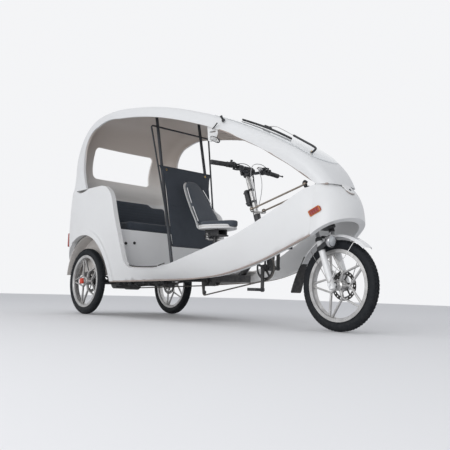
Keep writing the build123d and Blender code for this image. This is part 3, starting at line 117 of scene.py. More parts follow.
look = Vector((
    -math.sin(CAMERA_TURN) * math.cos(CAMERA_TILT),
    math.cos(CAMERA_TURN) * math.cos(CAMERA_TILT),
    math.sin(CAMERA_TILT),
))
level = Vector((math.cos(CAMERA_TURN), math.sin(CAMERA_TURN), 0))
top = level.cross(look)
right = level * math.cos(CAMERA_ROLL) + top * math.sin(CAMERA_ROLL)
up = top * math.cos(CAMERA_ROLL) - level * math.sin(CAMERA_ROLL)
camera.matrix_world = Matrix.Translation(CAMERA_AT) @ axes(right, up, -look)
print("camera at", tuple(round(v, 3) for v in CAMERA_AT))

# %% [markdown]
# The world and the finishes are made of nodes. A few helpers add a node together with what feeds
# it, so that each tree below reads as a list of steps and not as a list of links.

# %% Helpers for node trees
def feed(tree, target, inputs):
    """Fills a node's inputs: another node's output is linked, and anything else is a value."""
    for key, value in inputs.items():
        if isinstance(value, bpy.types.NodeSocket):
            tree.links.new(value, target.inputs[key])
        else:
            target.inputs[key].default_value = value


def add_node(tree, kind, inputs=None, **properties):
    """Adds one shader node with its properties and inputs."""
    made = tree.nodes.new("ShaderNode" + kind)
    for key, value in properties.items():
        setattr(made, key, value)
    feed(tree, made, inputs or {})
    return made


def calculate(tree, operation, *inputs, **properties):
    """What a Math node makes of its inputs."""
    made = add_node(tree, "Math", dict(enumerate(inputs)), operation=operation, **properties)
    return made.outputs[0]


def remap(tree, value, **ends):
    """A value carried over to another range. Ends are from_min, from_max, to_min and to_max."""
    named = {key.replace("_", " ").title(): end for key, end in ends.items()}
    return add_node(tree, "MapRange", {"Value": value, **named}).outputs["Result"]


def blend(tree, share, first, second, kind="RGBA"):
    """Two tones, or two numbers, mixed by a share."""
    mixed = add_node(tree, "Mix", {"Factor": share, "A": first, "B": second}, data_type=kind)
    return mixed.outputs["Result"]


def start_material(name):
    """A material with one Principled shader, returned with its tree."""
    material = bpy.data.materials.new(name)
    material.use_nodes = True
    tree = material.node_tree
    return material, tree, tree.nodes["Principled BSDF"]


print("node helpers ready")

# %% [markdown]
# A pale floor and one wide soft light from above stand for an overcast sky. Two sheets of light
# fill from the camera's side, a strong one ahead and a weak one behind. The world shows white to
# the camera, to mirrors and through glass, and the floor takes the object's shadow. The Standard
# view keeps each colour as it is written.

# %% The overcast sky
SKY_COLOR = (0.93, 0.95, 1.0, 1)
SKY_STRENGTH = 0.66
BACKDROP_COLOR = (0.905, 0.91, 0.925, 1)
bpy.context.scene.view_settings.view_transform = "Standard"

world = bpy.data.worlds.new("overcast sky")
bpy.context.scene.world = world
world.use_nodes = True
tree = world.node_tree
tree.nodes.clear()
path = add_node(tree, "LightPath").outputs
direct = calculate(tree, "MAXIMUM", path["Is Camera Ray"], path["Is Transmission Ray"])
shown = calculate(tree, "MAXIMUM", direct, path["Is Glossy Ray"])
daylight = add_node(tree, "Background", {"Color": SKY_COLOR, "Strength": SKY_STRENGTH})
backdrop = add_node(tree, "Background", {"Color": BACKDROP_COLOR, "Strength": 1.0})
mix = add_node(tree, "MixShader", {0: shown, 1: daylight.outputs[0], 2: backdrop.outputs[0]})
add_node(tree, "OutputWorld", {"Surface": mix.outputs[0]})
print("world:", world.name)


# %% Lights
def area_light(name, place, size, power):
    """A soft square sheet of light that looks at the vehicle's middle."""
    data = bpy.data.lights.new(name, "AREA")
    data.shape = "SQUARE"
    data.size = size
    data.energy = power
    lamp = bpy.data.objects.new(name, data)
    lamp.location = place
    lamp.rotation_euler = (LIT_MIDDLE - Vector(place)).to_track_quat("-Z", "Y").to_euler()
    bpy.context.scene.collection.objects.link(lamp)


LIT_MIDDLE = Vector((0, 0, 0.8))
area_light("sky sheet", (0.6, -0.8, 5.2), 5.0, 26)
area_light("near fill", (2.5, -5.2, 1.6), 4.2, 138)
area_light("far fill", (-2.6, -4.8, 1.8), 3.0, 14)
print("lights set")

# %% The floor, a wide pale sheet that is no part of the vehicle
FLOOR_HALF = 14
floor_mesh = bpy.data.meshes.new("floor")
corners = [(x * FLOOR_HALF, y * FLOOR_HALF, 0) for x, y in ((-1, -1), (1, -1), (1, 1), (-1, 1))]
floor_mesh.from_pydata(corners, [], [(0, 1, 2, 3)])
floor = bpy.data.objects.new("floor", floor_mesh)
bpy.context.scene.collection.objects.link(floor)
floor_paint, tree, shader = start_material("pale floor")
feed(tree, shader, {"Base Color": (0.78, 0.78, 0.785, 1), "Roughness": 0.85})
floor_mesh.materials.append(floor_paint)
print("floor", 2 * FLOOR_HALF, "m square")

# %% [markdown]
# Materials share a few effects, and each is a shader node group with named inputs: a patchy
# tint, a woven cloth, a fine grain and a dust line that climbs from the ground. All of them are
# laid out by the object's own places in metres, so that neighbouring pieces share one pattern.

# %% How an effect is started, and where its pattern comes from
def effect_group(name, inputs, outputs):
    """Starts a node group. Inputs are names with defaults, and a tone is a tuple of four."""
    group = bpy.data.node_groups.new(name, "ShaderNodeTree")
    for label, default in inputs.items():
        kind = "NodeSocketColor" if isinstance(default, tuple) else "NodeSocketFloat"
        socket = group.interface.new_socket(label, in_out="INPUT", socket_type=kind)
        socket.default_value = default
    for label in outputs:
        kind = "NodeSocketColor" if label == "Color" else "NodeSocketFloat"
        group.interface.new_socket(label, in_out="OUTPUT", socket_type=kind)
    return group, group.nodes.new("NodeGroupInput").outputs, group.nodes.new("NodeGroupOutput")


def object_place(tree):
    """The place of each spot of a surface, in metres."""
    return add_node(tree, "TexCoord").outputs["Object"]


def noise(tree, place, scale, detail, roughness=0.5):
    """A soft cloudy value between 0 and 1."""
    inputs = {"Vector": place, "Scale": scale, "Detail": detail, "Roughness": roughness}
    return add_node(tree, "TexNoise", inputs).outputs["Fac"]


print("effect helpers ready")

# %% The patchy tint: two tones mixed by a soft noise, with a matching change of roughness
tree, given, result = effect_group("patchy tint", {
    "Light tone": (0.8, 0.8, 0.8, 1),
    "Dark tone": (0.7, 0.7, 0.7, 1),
    "Patches per metre": 6.0,
    "Smooth": 0.3,
    "Dull": 0.45,
}, ["Color", "Roughness", "Mask"])
tint_group = tree
patches = noise(tree, object_place(tree), given["Patches per metre"], 5, 0.6)
spread = remap(tree, patches, from_min=0.35, from_max=0.65)
feed(tree, result, {
    "Color": blend(tree, spread, given["Light tone"], given["Dark tone"]),
    "Roughness": remap(tree, spread, to_min=given["Smooth"], to_max=given["Dull"]),
    "Mask": spread,
})
print("group:", tint_group.name)

# %% The woven cloth: two crossing sets of threads, with a slightly lighter tone on their crowns
tree, given, result = effect_group("woven cloth", {
    "Thread tone": (0.05, 0.055, 0.065, 1),
    "Gap tone": (0.02, 0.022, 0.028, 1),
    "Threads per metre": 900.0,
    "Fade": 0.35,
}, ["Color", "Height", "Roughness"])
weave_group = tree
place = object_place(tree)
threads = []
for direction in ((1, 0, 0.35), (0.2, 1, 0.9)):
    along = add_node(tree, "VectorMath", {0: place, 1: Vector(direction).normalized()},
                     operation="DOT_PRODUCT")
    count = calculate(tree, "MULTIPLY", along.outputs["Value"], given["Threads per metre"])
    threads.append(calculate(tree, "SINE", count))
crossing = calculate(tree, "MAXIMUM", *threads)
fuzz = noise(tree, place, 14, 8)
worn = calculate(tree, "MULTIPLY", fuzz, given["Fade"])
lift = remap(tree, crossing, from_min=-1, to_max=0.75)
share = calculate(tree, "ADD", lift, worn, use_clamp=True)
feed(tree, result, {
    "Color": blend(tree, share, given["Gap tone"], given["Thread tone"]),
    "Height": crossing,
    "Roughness": remap(tree, fuzz, to_min=0.95, to_max=0.78),
})
print("group:", weave_group.name)

# %% The fine grain: a pebbled height for moulded plastic, rubber and castings
tree, given, result = effect_group(
    "fine grain", {"Grains per metre": 400.0, "Soft share": 0.5}, ["Height"])
grain_group = tree
place = object_place(tree)
fine = noise(tree, place, given["Grains per metre"], 3)
wide = noise(tree, place, 3, 2)
feed(tree, result, {"Height": blend(tree, given["Soft share"], fine, wide, "FLOAT")})
print("group:", grain_group.name)

# %% The dust line: road dust that is thick near the ground and gone above a height
tree, given, result = effect_group("road dust", {
    "Clean tone": (0.5, 0.5, 0.5, 1),
    "Dust tone": (0.42, 0.38, 0.33, 1),
    "Top height": 0.6,
    "Most": 0.35,
}, ["Color", "Mask"])
dust_group = tree
place = object_place(tree)
height = add_node(tree, "SeparateXYZ", {0: place}).outputs["Z"]
low = remap(tree, height, from_max=given["Top height"], to_min=1, to_max=0)
gate = remap(tree, noise(tree, place, 38, 8, 0.7), from_min=0.42, from_max=0.7)
capped = calculate(tree, "MULTIPLY", calculate(tree, "MULTIPLY", low, gate), given["Most"])
feed(tree, result, {
    "Color": blend(tree, capped, given["Clean tone"], given["Dust tone"]),
    "Mask": capped,
})
print("group:", dust_group.name)

# %% [markdown]
# Every finish below is one Principled shader fed by these groups. The same function makes the
# hard finishes: a patchy tint, then dust near the ground, then a fine grain as bump. Cloth has
# its own function because its threads set both the tone and the bump.

# %% How a hard finish is made
def use_group(tree, group, **values):
    """Places a group in a material. Its inputs are given with _ in place of spaces."""
    inputs = {key.replace("_", " "): value for key, value in values.items()}
    return add_node(tree, "Group", inputs, node_tree=group).outputs


def bump_normal(tree, height, strength, distance):
    """The normal that a height gives a surface."""
    inputs = {"Height": height, "Strength": strength, "Distance": distance}
    return add_node(tree, "Bump", inputs).outputs["Normal"]


def rgba(color):
    """A tone with full cover."""
    return (*color, 1.0)


def hard_finish(name, light, dark, smooth=0.3, dull=0.45, metal=0.0, coat=0.0, patches=6.0,
                grain=400.0, bump=0.05, dust=0.0, dust_top=0.7):
    """A moulded, painted or metal surface."""
    material, tree, shader = start_material(name)
    tint = use_group(tree, tint_group, Light_tone=rgba(light), Dark_tone=rgba(dark),
                     Patches_per_metre=patches, Smooth=smooth, Dull=dull)
    dirt = use_group(tree, dust_group, Clean_tone=tint["Color"], Top_height=dust_top, Most=dust)
    pebbles = use_group(tree, grain_group, Grains_per_metre=grain, Soft_share=0.4)
    feed(tree, shader, {
        "Base Color": dirt["Color"],
        "Roughness": tint["Roughness"],
        "Normal": bump_normal(tree, pebbles["Height"], bump, MM),
        "Metallic": metal,
        "Coat Weight": coat,
        "Coat Roughness": 0.12,
    })
    return material


print("hard finishes can be made")

# %% White skins and panels
hull_white = hard_finish("moulded white skin", (0.71, 0.715, 0.715), (0.69, 0.692, 0.69), smooth=0.36,
                         dull=0.44, coat=0.12, patches=3, grain=160, bump=0.03, dust=0.10, dust_top=0.5)
roof_skin = hard_finish("roof skin", (0.70, 0.707, 0.71), (0.68, 0.684, 0.684), smooth=0.36,
                        dull=0.44, coat=0.12, patches=3, grain=160, bump=0.03)
# a warm grey painted shade for hollows of the white moulding: the wheel housings, the floor pan and the
# seat lip's groove; its dust is real
painted_shade_grey = hard_finish("warm grey painted shade", (0.66, 0.63, 0.60), (0.60, 0.57, 0.54), smooth=0.5,
                          dull=0.62, patches=4, grain=700, bump=0.10, dust=0.2)
# the bench panel is white moulding painted lighter than the hull's white, as painted light for the light
# that reaches it through the door
bench_white_painted_light = hard_finish("bench panel white, painted light", (0.90, 0.905, 0.91), (0.87, 0.875, 0.88), smooth=0.4,
                          dull=0.5, patches=5, grain=500)
fork_white = hard_finish("fork lacquer white", (0.78, 0.785, 0.79), (0.74, 0.74, 0.74), smooth=0.2,
                         dull=0.3, coat=0.5, patches=20, bump=0.02, dust=0.25)
piping_white = hard_finish("white piping", (0.74, 0.74, 0.74), (0.68, 0.68, 0.68), smooth=0.45,
                           dull=0.6, patches=40, grain=1500, bump=0.1)
print("white finishes ready")

# %% [markdown]
# The roof is one white moulding, and inside it a painted shade stands in for the light it lacks:
# a warm grey that darkens towards the top. A second skin would flicker against the first, so the
# painted shade is chosen in the material: a curve holds the half width of the inner face along the
# vehicle, and what lies within it and faces the middle gets the painted shade.

# %% The roof's painted inner shade
# columns: place along the vehicle and half width of the roof's inner face, in metres
ROOF_HALF = [(-0.32, 0.512), (0.18, 0.471), (0.60, 0.468), (1.077, 0.458), (1.51, 0.378),
             (1.90, 0.268), (2.15, 0.202), (2.30, 0.162), (2.40, 0.136)]
CURVE_START, CURVE_END = -0.4, 2.5
PAINTED_SHADE_REACH = 0.006
tree = roof_skin.node_tree
shader = tree.nodes["Principled BSDF"]
place = object_place(tree)
parts = add_node(tree, "SeparateXYZ", {0: place}).outputs
share_along = remap(tree, parts["X"], from_min=REAR_AXLE + CURVE_START, from_max=REAR_AXLE + CURVE_END)
half_width = add_node(tree, "FloatCurve", {"Value": share_along})
line = half_width.mapping.curves[0]
line.points[0].location = (0, ROOF_HALF[0][1])
line.points[1].location = (1, ROOF_HALF[-1][1])
for along, half in ROOF_HALF:
    line.points.new((along - CURVE_START) / (CURVE_END - CURVE_START), half)
half_width.mapping.update()
room = calculate(tree, "SUBTRACT", half_width.outputs["Value"], calculate(tree, "ABSOLUTE", parts["Y"]))
# the inner face that takes the painted shade: within the half width and facing the middle
within = calculate(tree, "GREATER_THAN", room, -PAINTED_SHADE_REACH)
from_middle = add_node(tree, "VectorMath", {0: place, 1: at(1000, 0, 950)}, operation="SUBTRACT")
faced = add_node(tree, "NewGeometry").outputs["Normal"]
outward = add_node(tree, "VectorMath", {0: from_middle.outputs["Vector"], 1: faced},
                   operation="DOT_PRODUCT")
inward = calculate(tree, "LESS_THAN", outward.outputs["Value"], 0.0)
inside = calculate(tree, "MULTIPLY", within, inward)
# painted shade: pale warm grey low down, deeper warm grey under the ceiling
upward = remap(tree, parts["Z"], from_min=1.22, from_max=1.52)
painted_shade_tone = blend(tree, upward, (0.76, 0.74, 0.715, 1), (0.60, 0.535, 0.485, 1))
painted = shader.inputs["Base Color"].links[0].from_socket
feed(tree, shader, {"Base Color": blend(tree, inside, painted, painted_shade_tone)})
print("painted inner shade within", len(ROOF_HALF), "half widths")

# %% Black coatings, plastic and rubber
frame_black = hard_finish("satin black frame", (0.022, 0.023, 0.026), (0.035, 0.035, 0.037),
                          patches=20, grain=900, bump=0.06, dust=0.35, dust_top=0.5)
post_black = hard_finish("black post coating", (0.025, 0.028, 0.035), (0.04, 0.044, 0.052),
                         smooth=0.35, dull=0.5, patches=25, grain=900, bump=0.06)
plastic_black = hard_finish("black plastic", (0.02, 0.021, 0.024), (0.03, 0.031, 0.034),
                            smooth=0.38, dull=0.55, patches=30, grain=1500, bump=0.12)
rubber_black = hard_finish("black rubber", (0.022, 0.023, 0.026), (0.035, 0.035, 0.036), smooth=0.6,
                           dull=0.8, patches=40, grain=1200, bump=0.15, dust=0.3, dust_top=0.5)
tyre_black = hard_finish("tyre rubber", (0.008, 0.010, 0.013), (0.014, 0.016, 0.019), smooth=0.55,
                         dull=0.75, patches=30, grain=900, bump=0.2, dust=0.04, dust_top=0.6)
tyre_black.node_tree.nodes["Principled BSDF"].inputs["Specular IOR Level"].default_value = 0.2
screen_dark = hard_finish("dark display glass", (0.012, 0.014, 0.018), (0.02, 0.022, 0.026),
                          smooth=0.05, dull=0.12, coat=0.8, patches=20, bump=0.01)
print("black finishes ready")

# %% Metals
rod_bronze = hard_finish("brown steel rod", (0.34, 0.285, 0.235), (0.25, 0.21, 0.175),
                         metal=0.6, patches=20, grain=800)
cast_alloy = hard_finish("cast alloy", (0.55, 0.545, 0.54), (0.40, 0.395, 0.39), smooth=0.25, dull=0.42,
                         metal=0.75, patches=18, grain=900, bump=0.08, dust=0.12, dust_top=0.6)
disc_steel = hard_finish("dark disc steel", (0.085, 0.083, 0.08), (0.05, 0.049, 0.047),
                         metal=0.8, patches=40, grain=900)
polished = hard_finish("polished chrome", (0.62, 0.62, 0.63), (0.50, 0.50, 0.51), smooth=0.08,
                       dull=0.2, metal=1.0, patches=30, bump=0.01)
bright_steel = hard_finish("bright steel", (0.62, 0.62, 0.62), (0.48, 0.47, 0.46), smooth=0.2,
                           dull=0.36, metal=1.0, patches=35, grain=1200)
chain_steel = hard_finish("oiled chain steel", (0.20, 0.185, 0.17), (0.09, 0.085, 0.08),
                          dull=0.5, metal=0.9, patches=90, grain=1500, bump=0.1, dust=0.2)
brass = hard_finish("brass", (0.72, 0.52, 0.22), (0.55, 0.38, 0.15), smooth=0.2, dull=0.35,
                    metal=1.0, patches=60, grain=1500)
print("metals ready")

# %% Lenses, coloured plastic and painted rim shade
lens_red = hard_finish("red lens", (0.30, 0.010, 0.004), (0.22, 0.008, 0.004), dull=0.4, coat=0.2,
                       patches=30, grain=900)
lens_amber = hard_finish("amber lens", (0.50, 0.15, 0.012), (0.40, 0.11, 0.010), dull=0.4, coat=0.2,
                         patches=30, grain=900)
lens_clear = hard_finish("clear lamp lens", (0.55, 0.57, 0.58), (0.40, 0.42, 0.44), smooth=0.05,
                         dull=0.15, coat=1.0, patches=60, grain=500, bump=0.02)
reflector_red = hard_finish("red plastic", (0.62, 0.06, 0.03), (0.5, 0.045, 0.02), dull=0.4,
                            patches=30, grain=900)
housing_pale = hard_finish("pale cable housing", (0.42, 0.42, 0.43), (0.34, 0.34, 0.35),
                           patches=40, grain=900, bump=0.03)
# a brown painted shade, laid as thin wires under the rims of the hull, the roof and the tongue where their
# undersides fall in shadow
painted_rim_shade = hard_finish("brown painted rim shade", (0.36, 0.30, 0.27), (0.28, 0.235, 0.21), smooth=0.5,
                        dull=0.65, patches=20, grain=900)
print("coloured finishes ready")


# %% Finishes for cloth
def cloth_finish(name, thread, gap, threads, fade=0.35):
    """A woven surface."""
    material, tree, shader = start_material(name)
    weave = use_group(tree, weave_group, Thread_tone=rgba(thread), Gap_tone=rgba(gap),
                      Threads_per_metre=threads * 2 * math.pi, Fade=fade)
    feed(tree, shader, {
        "Base Color": weave["Color"],
        "Roughness": weave["Roughness"],
        "Normal": bump_normal(tree, weave["Height"], 0.3, 0.6 * MM),
        "Sheen Weight": 0.15,
        "Sheen Roughness": 0.5,
    })
    return material


seat_cloth = cloth_finish("charcoal seat cloth", (0.070, 0.082, 0.100), (0.032, 0.038, 0.050), 420)
bench_cloth = cloth_finish("dark bench cloth", (0.042, 0.053, 0.070), (0.020, 0.026, 0.036), 420)
curtain_cloth = cloth_finish("blue grey canvas", (0.036, 0.045, 0.060), (0.018, 0.023, 0.033), 520,
                             fade=0.5)
print("cloth ready")

# %% [markdown]
# The windscreen is a thin clear sheet with a faint film of dust. Real refraction would need many
# light paths for a sheet this thin, so the film is an alpha that grows where the sheet is seen
# edge on, under a clear coat that keeps the gloss.

# %% The clear screen
screen_glass, tree, shader = start_material("clear screen")
film = use_group(tree, tint_group, Light_tone=(0.80, 0.82, 0.83, 1), Dark_tone=(0.76, 0.78, 0.79, 1),
                 Patches_per_metre=5.0, Smooth=0.04, Dull=0.12)
haze = remap(tree, film["Mask"], to_min=0.16, to_max=0.24)
glance = add_node(tree, "LayerWeight", {"Blend": 0.6}).outputs["Facing"]
feed(tree, shader, {
    "Base Color": film["Color"],
    "Roughness": film["Roughness"],
    "Alpha": calculate(tree, "MAXIMUM", haze, glance),
    "Coat Weight": 0.6,
    "Coat Roughness": 0.03,
})
print("glass ready")

# %% [markdown]
# The construction's own solids keep their shape. Each gets the finish that the real piece has,
# and pieces of one make share one finish, so that a change of tone reaches all of them.

# %% Finishes of the construction's pieces
FINISH = {
    hull_white: ["hull_rear", "hull_side_right", "hull_side_left", "hull_nose", "roof_fittings",
                 "rider_shell"],
    roof_skin: ["roof_shell"],
    # the wheel housings and the floor pan get the warm grey painted shade
    painted_shade_grey: ["wheel_housings", "floor_pan"],
    # the bench box takes the white with painted light
    bench_white_painted_light: ["bench_box"],
    screen_glass: ["windscreen"],
    plastic_black: ["wiper", "bar_controls", "pedal_right", "pedal_left"],
    rubber_black: ["floor_mat", "mud_flap", "grips"],
    post_black: ["partition_frame", "handlebar"],
    frame_black: ["chassis_frame", "rear_axle", "derailleur", "fork_crown", "crankset"],
    rod_bronze: ["tie_rod_right", "tie_rod_left"],
    chain_steel: ["chain"],
    lens_red: ["marker_lamps"],
    polished: ["fork_stanchions", "headlamp"],
    fork_white: ["fork_lowers", "mudguard"],
    bright_steel: ["steering_stem"],
    cast_alloy: ["front_wheel_rim", "rear_wheel_right_rim", "rear_wheel_left_rim"],
    tyre_black: ["front_wheel_tyre", "rear_wheel_right_tyre", "rear_wheel_left_tyre"],
    seat_cloth: ["rider_pad", "stem_pouch"],
    bench_cloth: ["bench_cushion", "bench_back"],
    curtain_cloth: ["curtain"],
}
for finish, names in FINISH.items():
    for name in names:
        for slot in nodes[name].material_slots:
            slot.material = finish
print(sum(len(names) for names in FINISH.values()), "nodes finished")

# %% [markdown]
# Small helpers turn lists of places into meshes. A lathe spins a profile, as a potter would; a
# block is a box with rounded edges; a wire is a smooth curve with a round section. Pieces of one
# kind are gathered in one mesh, and each piece rides on the body that carries it.

# %% A mesh from points, and where it is placed
def mesh_of(name, points, faces):
    """A mesh from a list of places and a list of faces, with outward normals."""
    mesh = bpy.data.meshes.new(name)
    mesh.from_pydata([tuple(p) for p in points], [], faces)
    builder = bmesh.new()
    builder.from_mesh(mesh)
    bmesh.ops.recalc_face_normals(builder, faces=builder.faces)
    builder.to_mesh(mesh)
    builder.free()
    return mesh


def facing(origin, axis, roll=0.0):
    """A placing matrix whose local Z points along axis."""
    turned = Vector((0, 0, 1)).rotation_difference(Vector(axis))
    return Matrix.Translation(origin) @ turned.to_matrix().to_4x4() @ Matrix.Rotation(roll, 4, "Z")


def polar(radius, angle):
    """The pair of distances that a radius and an angle give."""
    return (radius * math.cos(angle), radius * math.sin(angle))


def grid_faces(rows, columns):
    """Faces of a sheet whose points are listed row by row, each row from edge to edge."""
    wide = columns + 1
    starts = [row * wide + column for row in range(rows) for column in range(columns)]
    return [(start, start + 1, start + wide + 1, start + wide) for start in starts]


print("a sheet of 2 by 3 cells has", len(grid_faces(2, 3)), "faces")

# %% Turned parts, blocks, and parts joined into one mesh
def lathe(profile, steps, place, closed=True):
    """Spins (along, radius) pairs round local Z. A closed profile gives a ring, an open one a rod."""
    points, faces = [], []
    count = len(profile)
    for step in range(steps):
        angle = 2 * math.pi * step / steps
        points += [place @ Vector((*polar(radius, angle), along)) for along, radius in profile]
    spans = count if closed else count - 1
    for step in range(steps):
        near, far = step * count, (step + 1) % steps * count
        for i in range(spans):
            j = (i + 1) % count
            faces.append((near + i, near + j, far + j, far + i))
    if not closed:
        faces.append([step * count for step in range(steps)])
        faces.append([step * count + count - 1 for step in range(steps)])
    return mesh_of("lathe", points, faces)


def peg(profile, steps, place):
    """A turned rod, solid from end to end."""
    return lathe(profile, steps, place, closed=False)


def block(size, place, bevel=0.003, segments=2):
    """A box with rounded edges, centred in its placing matrix."""
    builder = bmesh.new()
    bmesh.ops.create_cube(builder, size=1.0)
    bmesh.ops.scale(builder, vec=size, verts=builder.verts)
    bmesh.ops.bevel(builder, geom=builder.edges[:], offset=bevel, segments=segments, profile=0.5,
                    affect="EDGES")
    bmesh.ops.transform(builder, matrix=place, verts=builder.verts)
    mesh = bpy.data.meshes.new("block")
    builder.to_mesh(mesh)
    builder.free()
    return mesh


def gather(name, parts, tones=None):
    """Joins part meshes into one. tones gives each part's material slot."""
    builder = bmesh.new()
    for number, part in enumerate(parts):
        if tones:
            part.polygons.foreach_set("material_index", [tones[number]] * len(part.polygons))
        builder.from_mesh(part)
        bpy.data.meshes.remove(part)
    mesh = bpy.data.meshes.new(name)
    builder.to_mesh(mesh)
    builder.free()
    return mesh


print("lathe, peg, block and gather ready")

# %% Pieces that ride on a body
def add_piece(name, mesh, finishes, body, stands_for=(), sharp=35):
    """Puts a mesh in the scene with its finishes, riding on a body."""
    piece = bpy.data.objects.new(name, mesh)
    bpy.context.scene.collection.objects.link(piece)
    for finish in finishes:
        mesh.materials.append(finish)
    mesh.shade_smooth()
    mesh.set_sharp_from_angle(angle=math.radians(sharp))
    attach(piece, body)
    if stands_for:
        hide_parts(*stands_for)
    return piece


def evaluated_mesh(piece):
    """The mesh of a piece with its modifiers, as a new mesh."""
    view = bpy.context.evaluated_depsgraph_get()
    return bpy.data.meshes.new_from_object(piece.evaluated_get(view))


def reshape(piece, *steps):
    """Runs modifiers over a piece and keeps the result. Steps are (kind, settings)."""
    for kind, settings in steps:
        modifier = piece.modifiers.new(kind.lower(), kind)
        for key, value in settings.items():
            setattr(modifier, key, value)
    piece.data = evaluated_mesh(piece)
    piece.modifiers.clear()


# %% Wires and arcs
def add_wire(name, points, radius, finish, body, closed=False, order=4):
    """A smooth round wire that its points pull into shape."""
    curve = bpy.data.curves.new(name, "CURVE")
    curve.dimensions = "3D"
    curve.bevel_depth = radius
    curve.bevel_resolution = 3
    curve.resolution_u = 8
    curve.use_fill_caps = True
    spline = curve.splines.new("NURBS")
    spline.points.add(len(points) - 1)
    for spot, place in zip(spline.points, points):
        spot.co = (*place, 1)
    spline.use_endpoint_u = not closed
    spline.use_cyclic_u = closed
    spline.order_u = min(order, len(points))
    curve.materials.append(finish)
    piece = bpy.data.objects.new(name, curve)
    bpy.context.scene.collection.objects.link(piece)
    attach(piece, body)
    return piece


def arc_through(a, b, c, steps):
    """Points of the circle arc from a over b to c, given as pairs."""
    ax, ay, bx, by, cx, cy = *a, *b, *c
    d = 2 * (ax * (by - cy) + bx * (cy - ay) + cx * (ay - by))
    ux = ((ax**2 + ay**2) * (by - cy) + (bx**2 + by**2) * (cy - ay) + (cx**2 + cy**2) * (ay - by)) / d
    uy = ((ax**2 + ay**2) * (cx - bx) + (bx**2 + by**2) * (ax - cx) + (cx**2 + cy**2) * (bx - ax)) / d
    start = math.atan2(ay - uy, ax - ux)
    middle = math.atan2(by - uy, bx - ux)
    end = math.atan2(cy - uy, cx - ux)
    radius = math.hypot(ax - ux, ay - uy)
    to_middle = (middle - start + math.pi) % (2 * math.pi) - math.pi
    to_end = to_middle + (end - middle + math.pi) % (2 * math.pi) - math.pi
    return [(ux + radius * math.cos(start + to_end * i / steps),
             uy + radius * math.sin(start + to_end * i / steps)) for i in range(steps + 1)]


print("mesh helpers ready")

# %% [markdown]
# The tyres are moped tyres with a block tread. The carcass is a lathe of three arcs, sidewall,
# tread, sidewall. The blocks could be cut by a displacement, but separate tapered blocks have
# crisper edges for fewer faces, so each block is a small wedge pressed onto the carcass.

# %% Carcass of a tyre
CARCASS_R, SHOULDER_R = 0.2755, 0.2650
SIDE_HALF, CROWN_HALF, BEAD_HALF = 0.0300, 0.0252, 0.0190
near_wall = arc_through((BEAD_HALF, 0.2215), (SIDE_HALF, 0.2455), (CROWN_HALF, SHOULDER_R), 9)
crown = arc_through((CROWN_HALF, SHOULDER_R), (0.0, CARCASS_R), (-CROWN_HALF, SHOULDER_R), 12)
far_wall = [(-across, radius) for across, radius in reversed(near_wall)]
carcass = near_wall + crown[1:-1] + far_wall + [(-BEAD_HALF, 0.2105), (BEAD_HALF, 0.2105)]
print(len(carcass), "points in the carcass profile")


def carcass_radius(across):
    """Radius of the crown at a distance from the tyre's middle."""
    share = min(abs(across) / CROWN_HALF, 1)
    return CARCASS_R - (CARCASS_R - SHOULDER_R) * share**2


# %% Tread blocks from a small table
# columns: distance from the middle, half width, half length in degrees, skew in degrees
TREAD = [
    (0.0205, 0.0052, 1.75, 1.1),
    (0.0105, 0.0036, 1.60, -0.9),
    (0.0000, 0.0044, 1.55, 0.8),
    (-0.0105, 0.0036, 1.60, 0.9),
    (-0.0205, 0.0052, 1.75, -1.1),
]
BLOCKS_ROUND = 72
BLOCK_TOP = 0.0030
BLOCK_SINK = 0.0012
BLOCK_TAPER = 0.82


def tread_blocks(place):
    """All the blocks of one tyre."""
    points, faces = [], []
    for row, (across, half_w, half_deg, skew) in enumerate(TREAD):
        for number in range(BLOCKS_ROUND):
            middle = 360 / BLOCKS_ROUND * (number + 0.5 * (row % 2))
            start = len(points)
            for lift, shrink in ((-BLOCK_SINK, 1.0), (BLOCK_TOP, BLOCK_TAPER)):
                for side, way in ((-1, -1), (1, -1), (1, 1), (-1, 1)):
                    spot = across + side * half_w * shrink
                    angle = math.radians(middle + way * half_deg * shrink + side * skew)
                    points.append(place @ Vector((*polar(carcass_radius(spot) + lift, angle), spot)))
            ring = [start + i for i in range(8)]
            faces.append(ring[4:])
            for i in range(4):
                j = (i + 1) % 4
                faces.append((ring[i], ring[j], ring[4 + j], ring[4 + i]))
    return mesh_of("blocks", points, faces)


print(len(TREAD) * BLOCKS_ROUND, "blocks on each tyre")

# %% The three tyres
# columns: wheel, centre, side of the brake disc
WHEELS = [
    ("front_wheel", at(2344, 0, 279), 1),
    ("rear_wheel_right", at(0, -452, 279), 1),
    ("rear_wheel_left", at(0, 452, 279), -1),
]
for wheel, centre, _ in WHEELS:
    place = facing(centre, (0, 1, 0))
    mesh = gather("tyre", [lathe(carcass, 160, place), tread_blocks(place)])
    tyre = add_piece(wheel.replace("wheel", "tyre"), mesh, [tyre_black], wheel,
                     stands_for=[wheel + "_tyre"], sharp=30)
    print(tyre.name, len(mesh.polygons), "faces")

# %% [markdown]
# The cushions are foam in woven covers. A carved block would look hard, so each one starts as a
# slightly smaller form, is remeshed into even cloth cells, and is blown up for twenty frames by
# the cloth solver. A cap on the travel keeps it inside the room that the construction gives it.

# %% How a cover is stuffed
COVER_FRAMES = 20


